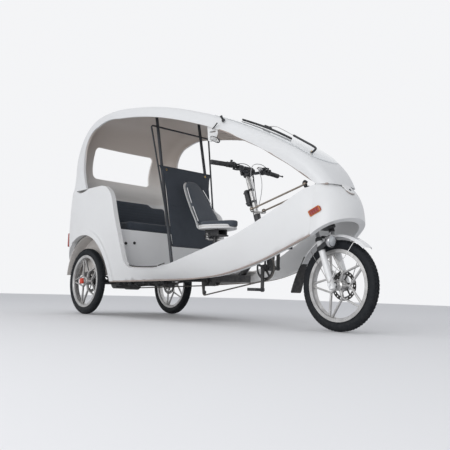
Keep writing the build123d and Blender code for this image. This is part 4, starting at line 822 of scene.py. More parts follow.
def stuff(piece, cell, cap):
    """Blows a closed form up like a filled cover, with its travel capped."""
    finishes = list(piece.data.materials)
    reshape(piece, ("REMESH", {"mode": "VOXEL", "voxel_size": cell}))
    before = [v.co.copy() for v in piece.data.vertices]
    cover = piece.modifiers.new("cover", "CLOTH")
    cover.settings.quality = 5
    cover.settings.mass = 0.3
    cover.settings.use_pressure = True
    cover.settings.uniform_pressure_force = 4.0
    cover.settings.effector_weights.gravity = 0
    cover.settings.tension_stiffness = 15
    cover.settings.compression_stiffness = 15
    cover.settings.bending_stiffness = 0.5
    cover.point_cache.frame_start = 1
    cover.point_cache.frame_end = COVER_FRAMES
    for frame_number in range(1, COVER_FRAMES + 1):
        bpy.context.scene.frame_set(frame_number)
    reshape(piece)
    for vertex, start in zip(piece.data.vertices, before):
        travel = vertex.co - start
        if travel.length > cap:
            vertex.co = start + travel * (cap / travel.length)
    bpy.context.scene.frame_set(1)
    reshape(piece, ("SUBSURF", {"levels": 1, "render_levels": 1}))
    piece.data.materials.clear()
    for finish in finishes:
        piece.data.materials.append(finish)
    piece.data.shade_smooth()


print("covers swell over", COVER_FRAMES, "frames")

# %% The form of a cushion before it is stuffed
def slab(outline, thick, place, rise=0.0, rim=0.012):
    """A flat closed form over an outline, rounded at both rims and raised in its middle."""
    count = len(outline)
    cx = sum(p[0] for p in outline) / count
    cy = sum(p[1] for p in outline) / count
    points, faces = [], []
    for level, shrink in ((0.0, rim), (rim * 0.35, rim * 0.25), (rim, 0.0), (thick - rim, 0.0),
                          (thick - rim * 0.35, rim * 0.25), (thick, rim)):
        for x, y in outline:
            away = Vector((x - cx, y - cy))
            pull = away * (1 - shrink / max(away.length, 0.01))
            points.append(place @ Vector((cx + pull.x, cy + pull.y, level)))
    top = len(points)
    for near in range(0, top - count, count):
        far = near + count
        faces += [(near + i, near + (i + 1) % count, far + (i + 1) % count, far + i) for i in range(count)]
    points.append(place @ Vector((cx, cy, thick + rise)))
    points.append(place @ Vector((cx, cy, 0)))
    last = top - count
    for i in range(count):
        j = (i + 1) % count
        faces.append((last + i, last + j, top))
        faces.append((j, i, top + 1))
    return mesh_of("slab", points, faces)


def round_corners(corners, radius, steps=5):
    """An outline with each corner of a polygon rounded."""
    outline = []
    for i, corner in enumerate(corners):
        here = Vector(corner)
        before = Vector(corners[i - 1]) - here
        after = Vector(corners[(i + 1) % len(corners)]) - here
        reach = min(radius, before.length / 2, after.length / 2)
        start, end = here + before.normalized() * reach, here + after.normalized() * reach
        for step in range(steps + 1):
            t = step / steps
            outline.append(tuple(start * (1 - t) ** 2 + here * 2 * t * (1 - t) + end * t**2))
    return outline


def leaning(origin, tilt, back):
    """A placing matrix on a raked back: local X runs left, Y climbs and Z points forward."""
    s, c = math.sin(tilt), math.cos(tilt)
    turned = axes((0, 1, 0), (-s, 0, c), (c, 0, s))
    return Matrix.Translation(origin) @ turned @ Matrix.Translation((0, 0, -back))


print("cushion forms ready")

# %% The bench's seat cushion
SWELL = 0.006
seat_corners = [(0.004, -0.380), (0.510, -0.380), (0.510, 0.380), (0.004, 0.380)]
seat_place = Matrix.Translation(at(0, 0, 697.6 + SWELL * 1000 / 2))
bench_seat = add_piece(
    "bench_seat_cover", slab(round_corners(seat_corners, 0.03), 0.068, seat_place), [bench_cloth],
    "chassis", stands_for=["bench_cushion"])
stuff(bench_seat, cell=0.010, cap=SWELL)
print("bench seat", tuple(round(v, 3) for v in bench_seat.dimensions))

# %% The bench's back cushion, higher in its middle
back_place = leaning(at(-6, 0, 777), math.radians(14), 0.0775)
back_corners = [(-0.379, 0.006), (0.379, 0.006), (0.379, 0.234), (0.222, 0.236), (0.190, 0.266),
                (-0.190, 0.266), (-0.222, 0.236), (-0.379, 0.234)]
bench_back = add_piece(
    "bench_back_cover", slab(round_corners(back_corners, 0.035), 0.072, back_place), [bench_cloth],
    "chassis", stands_for=["bench_back"])
stuff(bench_back, cell=0.009, cap=SWELL)
print("bench back", tuple(round(v, 3) for v in bench_back.dimensions))

# %% [markdown]
# The rider's seat is one long moulded seat: a raked back that narrows upwards and a short nosed
# base. Its cover is stuffed like the bench's. White piping runs along the near and far edges of
# the back, and a white band follows the base.

# %% The rider's back pad and base pad
rider_back_place = leaning(at(1110, 0, 712), math.radians(35), 0.030)
rider_back_corners = [(-0.117, 0.036), (0.117, 0.036), (0.110, 0.150), (0.094, 0.320), (0.070, 0.452),
                      (0.038, 0.490), (-0.038, 0.490), (-0.070, 0.452), (-0.094, 0.320), (-0.110, 0.150)]
rider_back = add_piece(
    "rider_back_cover", slab(round_corners(rider_back_corners, 0.03), 0.030, rider_back_place, rise=0.004),
    [seat_cloth], "chassis", stands_for=["rider_pad"])
stuff(rider_back, cell=0.007, cap=0.004)

# the base is a flat pad whose nose goes deeper over the shell's lip
NOSE_DROP = 0.020
rider_base_corners = [(1.076, -0.106), (1.150, -0.126), (1.262, -0.098), (1.338, -0.056), (1.390, -0.022),
                      (1.390, 0.022), (1.338, 0.056), (1.262, 0.098), (1.150, 0.126), (1.076, 0.106)]
rider_base_mesh = slab(round_corners(rider_base_corners, 0.03), 0.026, Matrix.Translation(at(0, 0, 722)))
for vertex in rider_base_mesh.vertices:
    toward_nose = min(max((vertex.co.x - at(1250, 0, 0).x) / 0.12, 0), 1)
    if vertex.co.z < at(0, 0, 735).z:
        vertex.co.z -= NOSE_DROP * toward_nose
rider_base = add_piece("rider_base_cover", rider_base_mesh, [seat_cloth], "chassis",
                       stands_for=["rider_pad"])
stuff(rider_base, cell=0.007, cap=0.004)
print("rider's pads", tuple(round(v, 3) for v in rider_back.dimensions))


# %% White piping on the rider's pads
def rider_back_spot(across, upward, out):
    """A place on the rider's back: across, up the back and out of it, in metres."""
    return rider_back_place @ Vector((across, upward, out))


# columns: name, then half width and height of each point
PIPING = [("low", ((0.116, 0.050), (0.111, 0.130), (0.107, 0.200))),
          ("high", ((0.103, 0.240), (0.095, 0.320), (0.081, 0.400)))]
for side, label in SIDES:
    for name, spots in PIPING:
        line = [rider_back_spot(side * across, rise, 0.031) for across, rise in spots]
        add_wire("back_piping_%s_%s" % (name, label), line, 0.0035, piping_white, "chassis", order=3)
print("piping laid")

# %% [markdown]
# The seat's shell is one white moulding. A thin shell follows the back and bulges at its sides,
# where the hips rest, and a deep lip carries the base; the lip's groove is painted grey as shade.

# %% The white shell behind the back
# columns: height along the back, half width, how far the wings come forward, in millimetres
SHELL_ROWS = [(4, 124, 0), (30, 132, 22), (70, 146, 40), (120, 150, 44), (165, 140, 34), (210, 118, 14),
              (330, 100, 3), (440, 82, 0), (482, 62, 0), (500, 34, 0)]
ACROSS = 16
points = []
for rise, half, wing in SHELL_ROWS:
    for column in range(ACROSS + 1):
        share = 2 * column / ACROSS - 1
        lift = wing * max(abs(share) - 0.55, 0) / 0.45
        points.append(rider_back_spot(share * half * MM, rise * MM, (lift - 3) * MM))
shell_mesh = mesh_of("shell", points, grid_faces(len(SHELL_ROWS) - 1, ACROSS))
shell_back = add_piece("rider_shell_back", shell_mesh, [hull_white], "chassis",
                       stands_for=["rider_shell"])
reshape(shell_back, ("SOLIDIFY", {"thickness": 0.007, "offset": -1}),
        ("SUBSURF", {"levels": 2, "render_levels": 2}))
print("shell", len(shell_back.data.polygons), "faces")

# %% The lip under the base, with painted shade in its groove
shell_lip = [(1.070, -0.112), (1.150, -0.134), (1.262, -0.106), (1.330, -0.064), (1.366, -0.024),
             (1.366, 0.024), (1.330, 0.064), (1.262, 0.106), (1.150, 0.134), (1.070, 0.112)]
groove = [(x - 0.004 if x > 1.2 else x, y * 0.985) for x, y in shell_lip]
# columns: outline, thickness, height in millimetres, rounding of the rim
LIP_LAYERS = [(shell_lip, 0.013, 708, 0.004), (shell_lip, 0.014, 690, 0.004), (groove, 0.010, 701, 0.002)]
layers = [slab(round_corners(outline, 0.03), thick, Matrix.Translation(at(0, 0, height)), rim=rim)
          for outline, thick, height, rim in LIP_LAYERS]
# the groove's layer takes the painted shade grey
add_piece("rider_shell_lip", gather("lip", layers, tones=[0, 0, 1]), [hull_white, painted_shade_grey],
          "chassis", stands_for=["rider_shell"])
print("seat shell ready")

# %% [markdown]
# The curtain between rider and passengers is canvas tied to the two posts. A sheet of small
# cells gets its outline from a short table of widths, soft folds near its edges, and a thickness.
# Its hems are rolled tubes and its brass eyelets are turned rings.

# %% The curtain's plane
POST_SLOPE = 0.239
POST_ANGLE = math.atan(POST_SLOPE)
POST_FOOT = at(622 + (1629 - 392) * POST_SLOPE, 0, 392)
POST_RISE = Vector((-math.sin(POST_ANGLE), 0, math.cos(POST_ANGLE)))
POST_FRONT = Vector((math.cos(POST_ANGLE), 0, math.sin(POST_ANGLE)))


def on_partition(across, rise, out):
    """A place in millimetres on the posts' plane: across, up the posts, and out to the front."""
    return POST_FOOT + (Vector((0, across, 0)) + POST_RISE * rise + POST_FRONT * out) * MM


# columns: height up the posts in mm, half width in mm
CURTAIN_WIDTHS = [(166, 214), (240, 217), (420, 219), (600, 221), (700, 226), (780, 242),
                  (826, 262), (840, 270)]
CURTAIN_LOW, CURTAIN_HIGH = CURTAIN_WIDTHS[0][0], CURTAIN_WIDTHS[-1][0]


def curtain_half(rise):
    """Half the curtain's width at a height, in mm."""
    for (low, low_w), (high, high_w) in zip(CURTAIN_WIDTHS, CURTAIN_WIDTHS[1:]):
        if rise <= high:
            share = (rise - low) / (high - low)
            return low_w + (high_w - low_w) * max(share, 0)
    return CURTAIN_WIDTHS[-1][1]


print("curtain", CURTAIN_HIGH - CURTAIN_LOW, "mm high")

# %% The hung canvas
def curtain_fold(across_share, rise):
    """How far the canvas stands proud, in mm."""
    edge = abs(across_share) ** 3
    waves = math.sin(rise * 0.021 + 5 * across_share) + 0.6 * math.sin(rise * 0.047 - 9 * across_share)
    hang = math.sin(across_share * 9 + 0.6) * 0.5 + math.sin(across_share * 17 + rise * 0.006) * 0.35
    return 1.1 + 0.55 * edge * waves + 0.5 * hang


CELLS_ACROSS, CELLS_UP = 90, 110
CURTAIN_OUT = 22.4
points = []
for row in range(CELLS_UP + 1):
    rise = CURTAIN_LOW + (CURTAIN_HIGH - CURTAIN_LOW) * row / CELLS_UP
    half = curtain_half(rise)
    for column in range(CELLS_ACROSS + 1):
        share = 2 * column / CELLS_ACROSS - 1
        points.append(on_partition(share * half, rise, CURTAIN_OUT + curtain_fold(share, rise)))
curtain = add_piece("canvas_curtain", mesh_of("canvas", points, grid_faces(CELLS_UP, CELLS_ACROSS)),
                    [curtain_cloth], "chassis", stands_for=["curtain"])
reshape(curtain, ("SOLIDIFY", {"thickness": 0.0012, "offset": 1}))
print("curtain", len(curtain.data.polygons), "faces")

# %% Hems, seam and eyelets of the curtain
SPREAD = (-1, -0.5, 0, 0.5, 1)
hems = [
    ("hem_top", [(s * 0.99 * curtain_half(840), 838, 24.8) for s in SPREAD], 0.0034),
    ("hem_foot", [(s * 0.99 * curtain_half(166), 169 + 2 * math.sin(5 * s), 25.0) for s in SPREAD], 0.0040),
    ("seam_middle", [(s * 0.98 * curtain_half(505), 505 - 6 * s, 24.3) for s in SPREAD], 0.0016),
]
for label, line, radius in hems:
    spots = [on_partition(*spot) for spot in line]
    add_wire(label, spots, radius, curtain_cloth, "chassis", order=3)
eyelet = [(0.0, 0.0050), (0.0014, 0.0054), (0.0018, 0.0072), (0.0012, 0.0092), (0.0, 0.0096)]
for side, label in SIDES:
    place = facing(on_partition(side * 200, 812, 24.6), POST_FRONT)
    add_piece("eyelet_" + label, lathe(eyelet, 28, place), [brass], "chassis")

# %% [markdown]
# Flat metal such as a disc, a lever or a wheel's arm is drawn as an outline with holes. A filled
# curve with a little bevel does that in one step and keeps every edge soft, which a boolean on
# boxes wouldn't.

# %% Plates cut from an outline
def plate(outlines, thick, place, soft=0.001):
    """A flat plate over outlines in metres, the first outside and the others holes."""
    curve = bpy.data.curves.new("plate", "CURVE")
    curve.dimensions = "2D"
    curve.fill_mode = "BOTH"
    curve.extrude = thick / 2 - soft
    curve.bevel_depth = soft
    curve.bevel_resolution = 1
    curve.offset = -soft
    for outline in outlines:
        spline = curve.splines.new("POLY")
        spline.points.add(len(outline) - 1)
        for spot, (x, y) in zip(spline.points, outline):
            spot.co = (x, y, 0, 1)
        spline.use_cyclic_u = True
    maker = bpy.data.objects.new("plate", curve)
    mesh = bpy.data.meshes.new_from_object(maker)
    bpy.data.objects.remove(maker)
    mesh.transform(place)
    return mesh


def circle(radius, steps=48, x=0.0, y=0.0):
    """A round outline."""
    return [(x + radius * math.cos(2 * math.pi * i / steps), y + radius * math.sin(2 * math.pi * i / steps))
            for i in range(steps)]


def strut(start, end, start_width, end_width):
    """The outline of a tapered bar between two places, rounded at its ends."""
    start, end = Vector(start), Vector(end)
    along = (end - start).normalized()
    across = Vector((-along.y, along.x))
    outline = []
    for middle, width, first in ((start, start_width, 90), (end, end_width, -90)):
        for step in range(7):
            angle = math.radians(first + 180 * step / 6)
            outline.append(tuple(middle + (along * math.cos(angle) + across * math.sin(angle)) * width / 2))
    return outline


print("plates, circles and struts ready")

# %% One cast wheel: rim, five forked arms, hub and drilled disc
RIM_PROFILE = [(-0.0250, 0.2005), (-0.0250, 0.2215), (-0.0212, 0.2215), (-0.0200, 0.2125),
               (-0.0120, 0.2105), (-0.0080, 0.2040), (0.0080, 0.2040), (0.0120, 0.2105),
               (0.0200, 0.2125), (0.0212, 0.2215), (0.0250, 0.2215), (0.0250, 0.2005),
               (0.0222, 0.1982), (0.0090, 0.1965), (-0.0090, 0.1965), (-0.0222, 0.1982)]
HUB_PROFILE = [(-0.0455, 0.0090), (-0.0455, 0.0200), (-0.0400, 0.0235), (-0.0240, 0.0250),
               (-0.0190, 0.0330), (0.0190, 0.0330), (0.0240, 0.0260), (0.0360, 0.0260),
               (0.0370, 0.0330), (0.0400, 0.0330), (0.0455, 0.0220), (0.0455, 0.0090)]
DISC_SEAT = [(0.0400, 0.0240), (0.0400, 0.0340), (0.0440, 0.0340), (0.0440, 0.0240)]
HUB_SEAL = [(0.0440, 0.0100), (0.0440, 0.0190), (0.0470, 0.0190), (0.0478, 0.0150), (0.0478, 0.0100)]
BOLT = [(0, 0.0036), (0.0022, 0.0036), (0.0030, 0.0028)]
FOOT_R, NODE_R, FORK_SPREAD, ARM_DEPTH = 0.199, 0.078, math.radians(33), 0.017
DISC_AT, DISC_OUT, DISC_IN, DISC_THICK = 0.042, 0.092, 0.068, 0.0036


def round_the_hub(count, shift=0.0):
    """The angles of so many equal parts of a turn."""
    return [2 * math.pi * (number + shift) / count for number in range(count)]


def cast_wheel():
    """The wheel's mesh about local Z, with the disc on the plus side."""
    flat = Matrix.Identity(4)
    parts = [lathe(RIM_PROFILE, 120, flat), lathe(HUB_PROFILE, 48, flat)]
    for turn in round_the_hub(5):
        fork_at = polar(NODE_R, turn)
        parts.append(plate([strut((0, 0), fork_at, 0.020, 0.0125)], ARM_DEPTH + 0.003, flat, soft=0.003))
        for way in (-1, 1):
            foot = polar(FOOT_R, turn + way * FORK_SPREAD)
            parts.append(plate([strut(fork_at, foot, 0.0100, 0.0115)], ARM_DEPTH, flat, soft=0.0028))
    metal = len(parts)
    raised = Matrix.Translation((0, 0, DISC_AT))
    holes = [circle(0.0045, 14, *polar(0.080, turn)) for turn in round_the_hub(20)]
    disc = [[circle(DISC_OUT, 96), circle(DISC_IN, 96)] + holes]
    disc += [[strut(polar(0.024, turn), polar(DISC_IN + 0.002, turn + 0.35), 0.012, 0.009)]
             for turn in round_the_hub(6, 0.5)]
    parts += [plate(outlines, DISC_THICK, raised, soft=0.0004) for outlines in disc]
    parts.append(lathe(DISC_SEAT, 40, flat))
    steel = len(parts)
    for turn in round_the_hub(6):
        parts.append(peg(BOLT, 12, Matrix.Translation((*polar(0.029, turn), 0.0455))))
    bolts = len(parts)
    # a dark seal at each end of the hub
    for way in (-1, 1):
        parts.append(lathe([(way * along, radius) for along, radius in HUB_SEAL], 40, flat))
    tones = [0] * metal + [1] * (steel - metal) + [0] * (bolts - steel) + [2] * (len(parts) - bolts)
    return gather("cast wheel", parts, tones)


print("hub", round(HUB_PROFILE[-1][0] - HUB_PROFILE[0][0], 4), "m wide")

# %% The three cast wheels
wheel_mesh = cast_wheel()
for wheel, centre, disc_side in WHEELS:
    mesh = wheel_mesh.copy()
    mesh.transform(facing(centre, (0, disc_side, 0)))
    add_piece(wheel.replace("wheel", "cast_wheel"), mesh, [cast_alloy, disc_steel, plastic_black], wheel,
              stands_for=[wheel + "_rim"], sharp=40)
print("wheels", len(wheel_mesh.polygons), "faces each")
bpy.data.meshes.remove(wheel_mesh)

# %% The red square cap on the near rear hub
cap_place = facing(at(0, -503, 279), (0, -1, 0), roll=math.radians(8))
add_piece("hub_cap_red", gather("cap", [
    block((0.046, 0.046, 0.020), cap_place, bevel=0.005),
    block((0.030, 0.030, 0.008), cap_place @ Matrix.Translation((0, 0, 0.010)), bevel=0.003),
]), [reflector_red], "rear_wheel_right")
print("red cap on the hub")

# %% [markdown]
# The hull's sides are moulded skins. Their upper edge is trimmed to the low, sweeping sill of the
# real one: a copy of each skin is cut by a prism whose outline is a few arcs.

# %% The outline of the sill, and the prism that cuts it
SILL_ARCS = [((276, 1062), (424, 1022), (512, 925)), ((632, 665), (664, 560), (680, 455)),
             ((680, 455), (704, 405), (770, 384)), ((1020, 380), (1130, 397), (1240, 427)),
             ((1240, 427), (1490, 507), (1740, 589)), ((1740, 589), (1990, 721), (2235, 868))]


def sill_line():
    """The sill's outline from the shoulder to the nose, in millimetres."""
    line = []
    for start, middle, end in SILL_ARCS:
        line += arc_through(start, middle, end, 18)
    return line


def prism(outline, low_y, high_y):
    """A closed prism over an outline of (x, z) in millimetres, between two distances from the middle."""
    count = len(outline)
    points = [at(x, y, z) for y in (low_y, high_y) for x, z in outline]
    faces = [list(range(count)), list(range(2 * count - 1, count - 1, -1))]
    faces += [(i, (i + 1) % count, count + (i + 1) % count, count + i) for i in range(count)]
    return mesh_of("prism", points, faces)


opening = sill_line() + [(2290, 890), (2290, 1200), (276, 1200)]
print(len(opening), "corners in the opening's outline")

# %% The sides with their trimmed sill
for side, label in SIDES:
    source = nodes["hull_side_" + label].data.copy()
    welder = bmesh.new()
    welder.from_mesh(source)
    bmesh.ops.remove_doubles(welder, verts=welder.verts, dist=0.00002)
    welder.to_mesh(source)
    welder.free()
    source.materials.clear()
    skin = add_piece("side_skin_" + label, source, [hull_white], "chassis",
                     stands_for=["hull_side_" + label])
    knife = bpy.data.objects.new("knife", prism(opening, side * 150, side * 700))
    bpy.context.scene.collection.objects.link(knife)
    reshape(skin, ("BOOLEAN", {"operation": "DIFFERENCE", "solver": "EXACT", "object": knife}))
    bpy.data.objects.remove(knife)
    # normals weighted by area keep the skin smooth over its long facets
    skin.data.set_sharp_from_angle(angle=math.radians(30))
    reshape(skin, ("WEIGHTED_NORMAL", {"mode": "FACE_AREA_WITH_ANGLE", "keep_sharp": True}))
    print(skin.name, len(skin.data.polygons), "faces", tuple(round(v, 3) for v in skin.dimensions))

# %% [markdown]
# The cockpit is what the eye finds first. The bar carries ribbed grips, lever clamps with blades,
# a display, a bell and switch rings, and thin housings run in open bows from them to the stem.
# Each is placed along the bar from its end, so that both sides come from one loop.

# %% Places along the bar
BAR_MID = raked(COLUMN_AT, 28, 0, 372)
BAR_END_BACK, BAR_END_RISE, BAR_HALF, BAR_BEND = 36, 26, 330, 150


def bar_way(side):
    """The direction along the bar towards its end."""
    return Vector((-BAR_END_BACK, side * (BAR_HALF - BAR_BEND), 0)).normalized()


def on_bar(side, inward, forward=0.0, lift=0.0):
    """A place in millimetres from the bar's end: inward along the bar, forward and up."""
    end = BAR_MID + Vector((-BAR_END_BACK, side * BAR_HALF, BAR_END_RISE)) * MM
    return end - bar_way(side) * inward * MM + Vector((forward, 0, lift)) * MM


print("bar end at", tuple(round(v, 3) for v in on_bar(1, 0)))

# %% Profiles of the turned parts at the bar
GRIP_RIBS = 11
grip_profile = [(-0.006, 0.0), (-0.006, 0.0150), (-0.003, 0.0175), (0.004, 0.0175)]
for rib in range(GRIP_RIBS):
    start = 0.008 + rib * 0.0100
    grip_profile += [(start, 0.0158), (start + 0.0015, 0.0172), (start + 0.0065, 0.0172),
                     (start + 0.0080, 0.0158)]
grip_profile += [(0.121, 0.0200), (0.129, 0.0200), (0.130, 0.0112)]


def band(half, inner, outer, soft):
    """The profile of a ring with softened outer edges."""
    return [(-half, inner), (-half, outer - 0.0015), (-half + soft, outer),
            (half - soft, outer), (half, outer - 0.0015), (half, inner)]


LEVER_CLAMP = band(0.015, 0.0115, 0.0200, 0.003)
SWITCH_RING = band(0.009, 0.0115, 0.0225, 0.003)
SOCKET = [(0.0, 0.0), (0.0, 0.0060), (0.020, 0.0060), (0.028, 0.0040), (0.028, 0.0)]
LEVER_PIVOT = [(-0.010, 0.0), (-0.010, 0.0085), (0.010, 0.0085), (0.010, 0.0)]
LEVER_BALL = [(-0.007, 0.0), (-0.005, 0.0055), (0.0, 0.0075), (0.005, 0.0055), (0.007, 0.0)]
# columns: inward along the bar, forward, up, in millimetres
BLADE = [(148, 40, -2), (120, 52, -8), (70, 54, -12), (22, 50, -12), (6, 56, -12)]
print(len(grip_profile), "points in the grip's profile")

# %% Grips, clamps, levers and switch rings
controls = []
for side, label in SIDES:
    way = bar_way(side)
    add_piece("grip_" + label, peg(grip_profile, 40, facing(on_bar(side, 0), -way)), [rubber_black],
              "handlebar_set", stands_for=["grips"])
    clamp = facing(on_bar(side, 153), way)
    turned = clamp.to_3x3().to_4x4()
    controls += [
        lathe(LEVER_CLAMP, 32, clamp),
        block((0.030, 0.026, 0.044), Matrix.Translation(on_bar(side, 153, 14, 2)) @ turned, bevel=0.006),
        block((0.020, 0.034, 0.018), Matrix.Translation(on_bar(side, 150, 34, 0)) @ turned, bevel=0.005),
        # switch ring and its small paddle
        lathe(SWITCH_RING, 32, facing(on_bar(side, 184), way)),
        block((0.030, 0.010, 0.016), Matrix.Translation(on_bar(side, 184, -18, 8)) @ turned, bevel=0.003),
        # a stout housing socket that points inwards, and the lever's pivot
        peg(SOCKET, 20, facing(on_bar(side, 168, 36, 0), -way + Vector((0.25, 0, 0.1)))),
        peg(LEVER_PIVOT, 24, facing(on_bar(side, 150, 12, 24), (0.2, 0, 1))),
    ]
    add_wire("brake_lever_" + label, [on_bar(side, *spot) for spot in BLADE], 0.0048, plastic_black,
             "handlebar_set")
    controls.append(peg(LEVER_BALL, 20, facing(on_bar(side, 5, 56, -12), way)))
# the pod of the gear switch on the near side with a turned lever, and the pods of the far side
controls += [
    block((0.052, 0.040, 0.034), Matrix.Translation(on_bar(-1, 222, 12, -14)), bevel=0.009),
    block((0.012, 0.046, 0.010), Matrix.Translation(on_bar(-1, 205, -16, -24)), bevel=0.003),
    block((0.044, 0.034, 0.040), Matrix.Translation(on_bar(1, 214, 8, -10)), bevel=0.009),
    block((0.046, 0.030, 0.012), Matrix.Translation(on_bar(1, 226, 34, 12)), bevel=0.004),
]
add_piece("bar_clamps", gather("clamps", controls), [plastic_black], "handlebar_set",
          stands_for=["bar_controls"])
print("clamps and levers on the bar")

# %% Display, bell, bands and case on the stem
RAKE_TURN = axes((math.cos(RAKE), 0, math.sin(RAKE)), (0, 1, 0), (-math.sin(RAKE), 0, math.cos(RAKE)))


def on_stem(forward, left, up):
    """A placing matrix on the steering column, with local Z up the column."""
    return Matrix.Translation(raked(COLUMN_AT, forward, left, up)) @ RAKE_TURN


# columns: size, then forward, left and up on the stem in millimetres, and bevel
DISPLAY_BLOCKS = [
    ((0.062, 0.092, 0.020), (6, 0, 402), 0.006),
    ((0.050, 0.078, 0.003), (6, 0, 412.6), 0.001),
    ((0.066, 0.050, 0.050), (10, 0, 369), 0.010),
    ((0.030, 0.034, 0.026), (40, 20, 378), 0.007),
    ((0.024, 0.026, 0.030), (-20, -26, 382), 0.006),
]
display = [block(size, on_stem(*spot), bevel=bevel) for size, spot, bevel in DISPLAY_BLOCKS]
add_piece("bar_display", gather("display", display, tones=[0, 1, 0, 0, 0]),
          [plastic_black, screen_dark], "handlebar_set", stands_for=["bar_controls"])
bell_place = facing(BAR_MID + Vector((0.018, 0.086, 0.030)), (0.25, 0, 1))
add_piece("bell", gather("bell", [
    peg([(0.0, 0.0), (0.0, 0.0235), (0.004, 0.0240), (0.010, 0.0220), (0.016, 0.0165),
         (0.0195, 0.0080), (0.0205, 0.0)], 36, bell_place),
    peg([(-0.008, 0.0), (-0.008, 0.0100), (0.001, 0.0120), (0.001, 0.0)], 24, bell_place),
]), [polished], "handlebar_set")
STEM_BAND = band(0.007, 0.0172, 0.0230, 0.002)
for number, up in enumerate((143, 236)):
    add_piece("stem_band_%d" % number, lathe(STEM_BAND, 40, on_stem(0, 0, up)), [plastic_black],
              "handlebar_set")
pouch = [block((0.038, 0.052, 0.126), on_stem(-37, 0, 190), bevel=0.012, segments=3),
         block((0.041, 0.054, 0.010), on_stem(-37, 0, 232), bevel=0.003),
         block((0.041, 0.054, 0.010), on_stem(-37, 0, 150), bevel=0.003)]
add_piece("stem_case", gather("case", pouch), [plastic_black], "handlebar_set", stands_for=["stem_pouch"])
print("display, bell and case")

# %% Housings that bow over the bar and run down the stem
# columns: name, finish, points as (forward, left, up) from the column's foot along the rake
HOUSINGS = [
    ("housing_right_brake", plastic_black, [
        (66, -172, 384), (84, -120, 396), (86, -60, 396), (74, -8, 360), (44, 8, 290), (26, 6, 200),
        (20, 4, 90)]),
    ("housing_left_brake", housing_pale, [
        (66, 172, 386), (94, 110, 410), (100, 40, 414), (92, -30, 396), (60, -34, 330), (28, -14, 240),
        (20, -6, 120)]),
    ("housing_gear", plastic_black, [
        (40, -120, 372), (64, -86, 376), (70, -40, 366), (48, 8, 320), (28, 12, 230), (20, 8, 130)]),
    ("housing_switch_left", housing_pale, [
        (42, 116, 376), (72, 70, 384), (88, 30, 376), (104, 30, 300), (92, 20, 200), (50, 8, 120),
        (22, 4, 84)]),
    ("housing_display", plastic_black, [
        (30, 30, 392), (46, 30, 380), (48, 18, 350), (30, 8, 300), (20, 6, 240)]),
]
for name, finish, spots in HOUSINGS:
    add_wire(name, [raked(COLUMN_AT, *spot) for spot in spots], 0.0024, finish, "handlebar_set")
print(len(HOUSINGS), "housings")

# %% [markdown]
# At the front end the fork shows dark seals over white legs, a flat chrome lamp on a bracket, a
# mudguard held by thin stays and a rubber flap. The tie rods end in rubber boots.

# %% Fork seals
def on_fork(forward, left, up):
    """A placing matrix on the fork, with local Z up the fork's axis."""
    return Matrix.Translation(raked(FORK_AT, forward, left, up)) @ RAKE_TURN


LEG_AHEAD, LEG_APART = 21, 78
LEGS = (-LEG_APART, LEG_APART)
lower_seal = [(0.0, 0.0145), (0.0, 0.0215), (0.004, 0.0225), (0.016, 0.0225), (0.020, 0.0195),
              (0.026, 0.0185), (0.028, 0.0145)]
upper_seal = [(0.0, 0.0146), (0.0, 0.0200), (0.018, 0.0200), (0.018, 0.0146)]
seals = [lathe(lower_seal, 36, on_fork(LEG_AHEAD, left, 283)) for left in LEGS]
seals.append(block((0.040, 0.112, 0.016), on_fork(LEG_AHEAD, 0, 312), bevel=0.006))
seals += [lathe(upper_seal, 36, on_fork(LEG_AHEAD, left, 366)) for left in LEGS]
add_piece("fork_seals", gather("seals", seals), [plastic_black], "fork")
print("fork seals")


# %% The lamp on its arm
def on_side(outline, y, thick):
    """A plate over an outline of (x, z) in millimetres, standing at a distance from the middle."""
    corners = [(REAR_AXLE + x * MM, z * MM) for x, z in outline]
    upright = axes((1, 0, 0), (0, 0, 1), (0, 1, 0))
    return plate([corners], thick, Matrix.Translation((0, y * MM, 0)) @ upright)


lamp_turn = facing(at(2352, -100, 542), (1, 0, 0))
lamp_shell = [(-0.034, 0.0), (-0.032, 0.0140), (-0.020, 0.0290), (-0.004, 0.0370), (0.012, 0.0385),
              (0.015, 0.0370), (0.015, 0.0330), (0.011, 0.0320), (0.011, 0.0)]
lamp_lens = [(0.0112, 0.0), (0.0112, 0.0318), (0.0150, 0.0290), (0.0185, 0.0180), (0.0195, 0.0)]
lamp_clamp = [(0.0, 0.0203), (0.0, 0.0255), (0.022, 0.0255), (0.022, 0.0203)]
add_piece("lamp", gather("lamp", [
    peg(lamp_shell, 56, lamp_turn),
    peg(lamp_lens, 48, lamp_turn),
    on_side([(2250, 486), (2250, 508), (2330, 556), (2340, 532), (2270, 486)], -102, 0.004),
    lathe(lamp_clamp, 36, on_fork(LEG_AHEAD, -LEG_APART, 223)),
], tones=[0, 1, 2, 2]), [polished, lens_clear, plastic_black], "fork", stands_for=["headlamp"])
print("lamp ready")

# %% Stays of the mudguard, and its rubber flap
# columns: name, angle round the front wheel in degrees
STAYS = (("front", 62), ("rear", 132))
for side, label in SIDES:
    for name, angle in STAYS:
        ahead, above = polar(1.0, math.radians(angle))
        add_wire("guard_stay_%s_%s" % (name, label), [
            at(2344 + 8 * ahead, side * 104, 292),
            at(2344 + 60 * ahead, side * 96, 345),
            at(2344 + 200 * ahead, side * 66, 279 + 200 * above),
            at(2344 + 301 * ahead, side * 42, 279 + 301 * above),
        ], 0.0024, bright_steel, "fork", order=3)

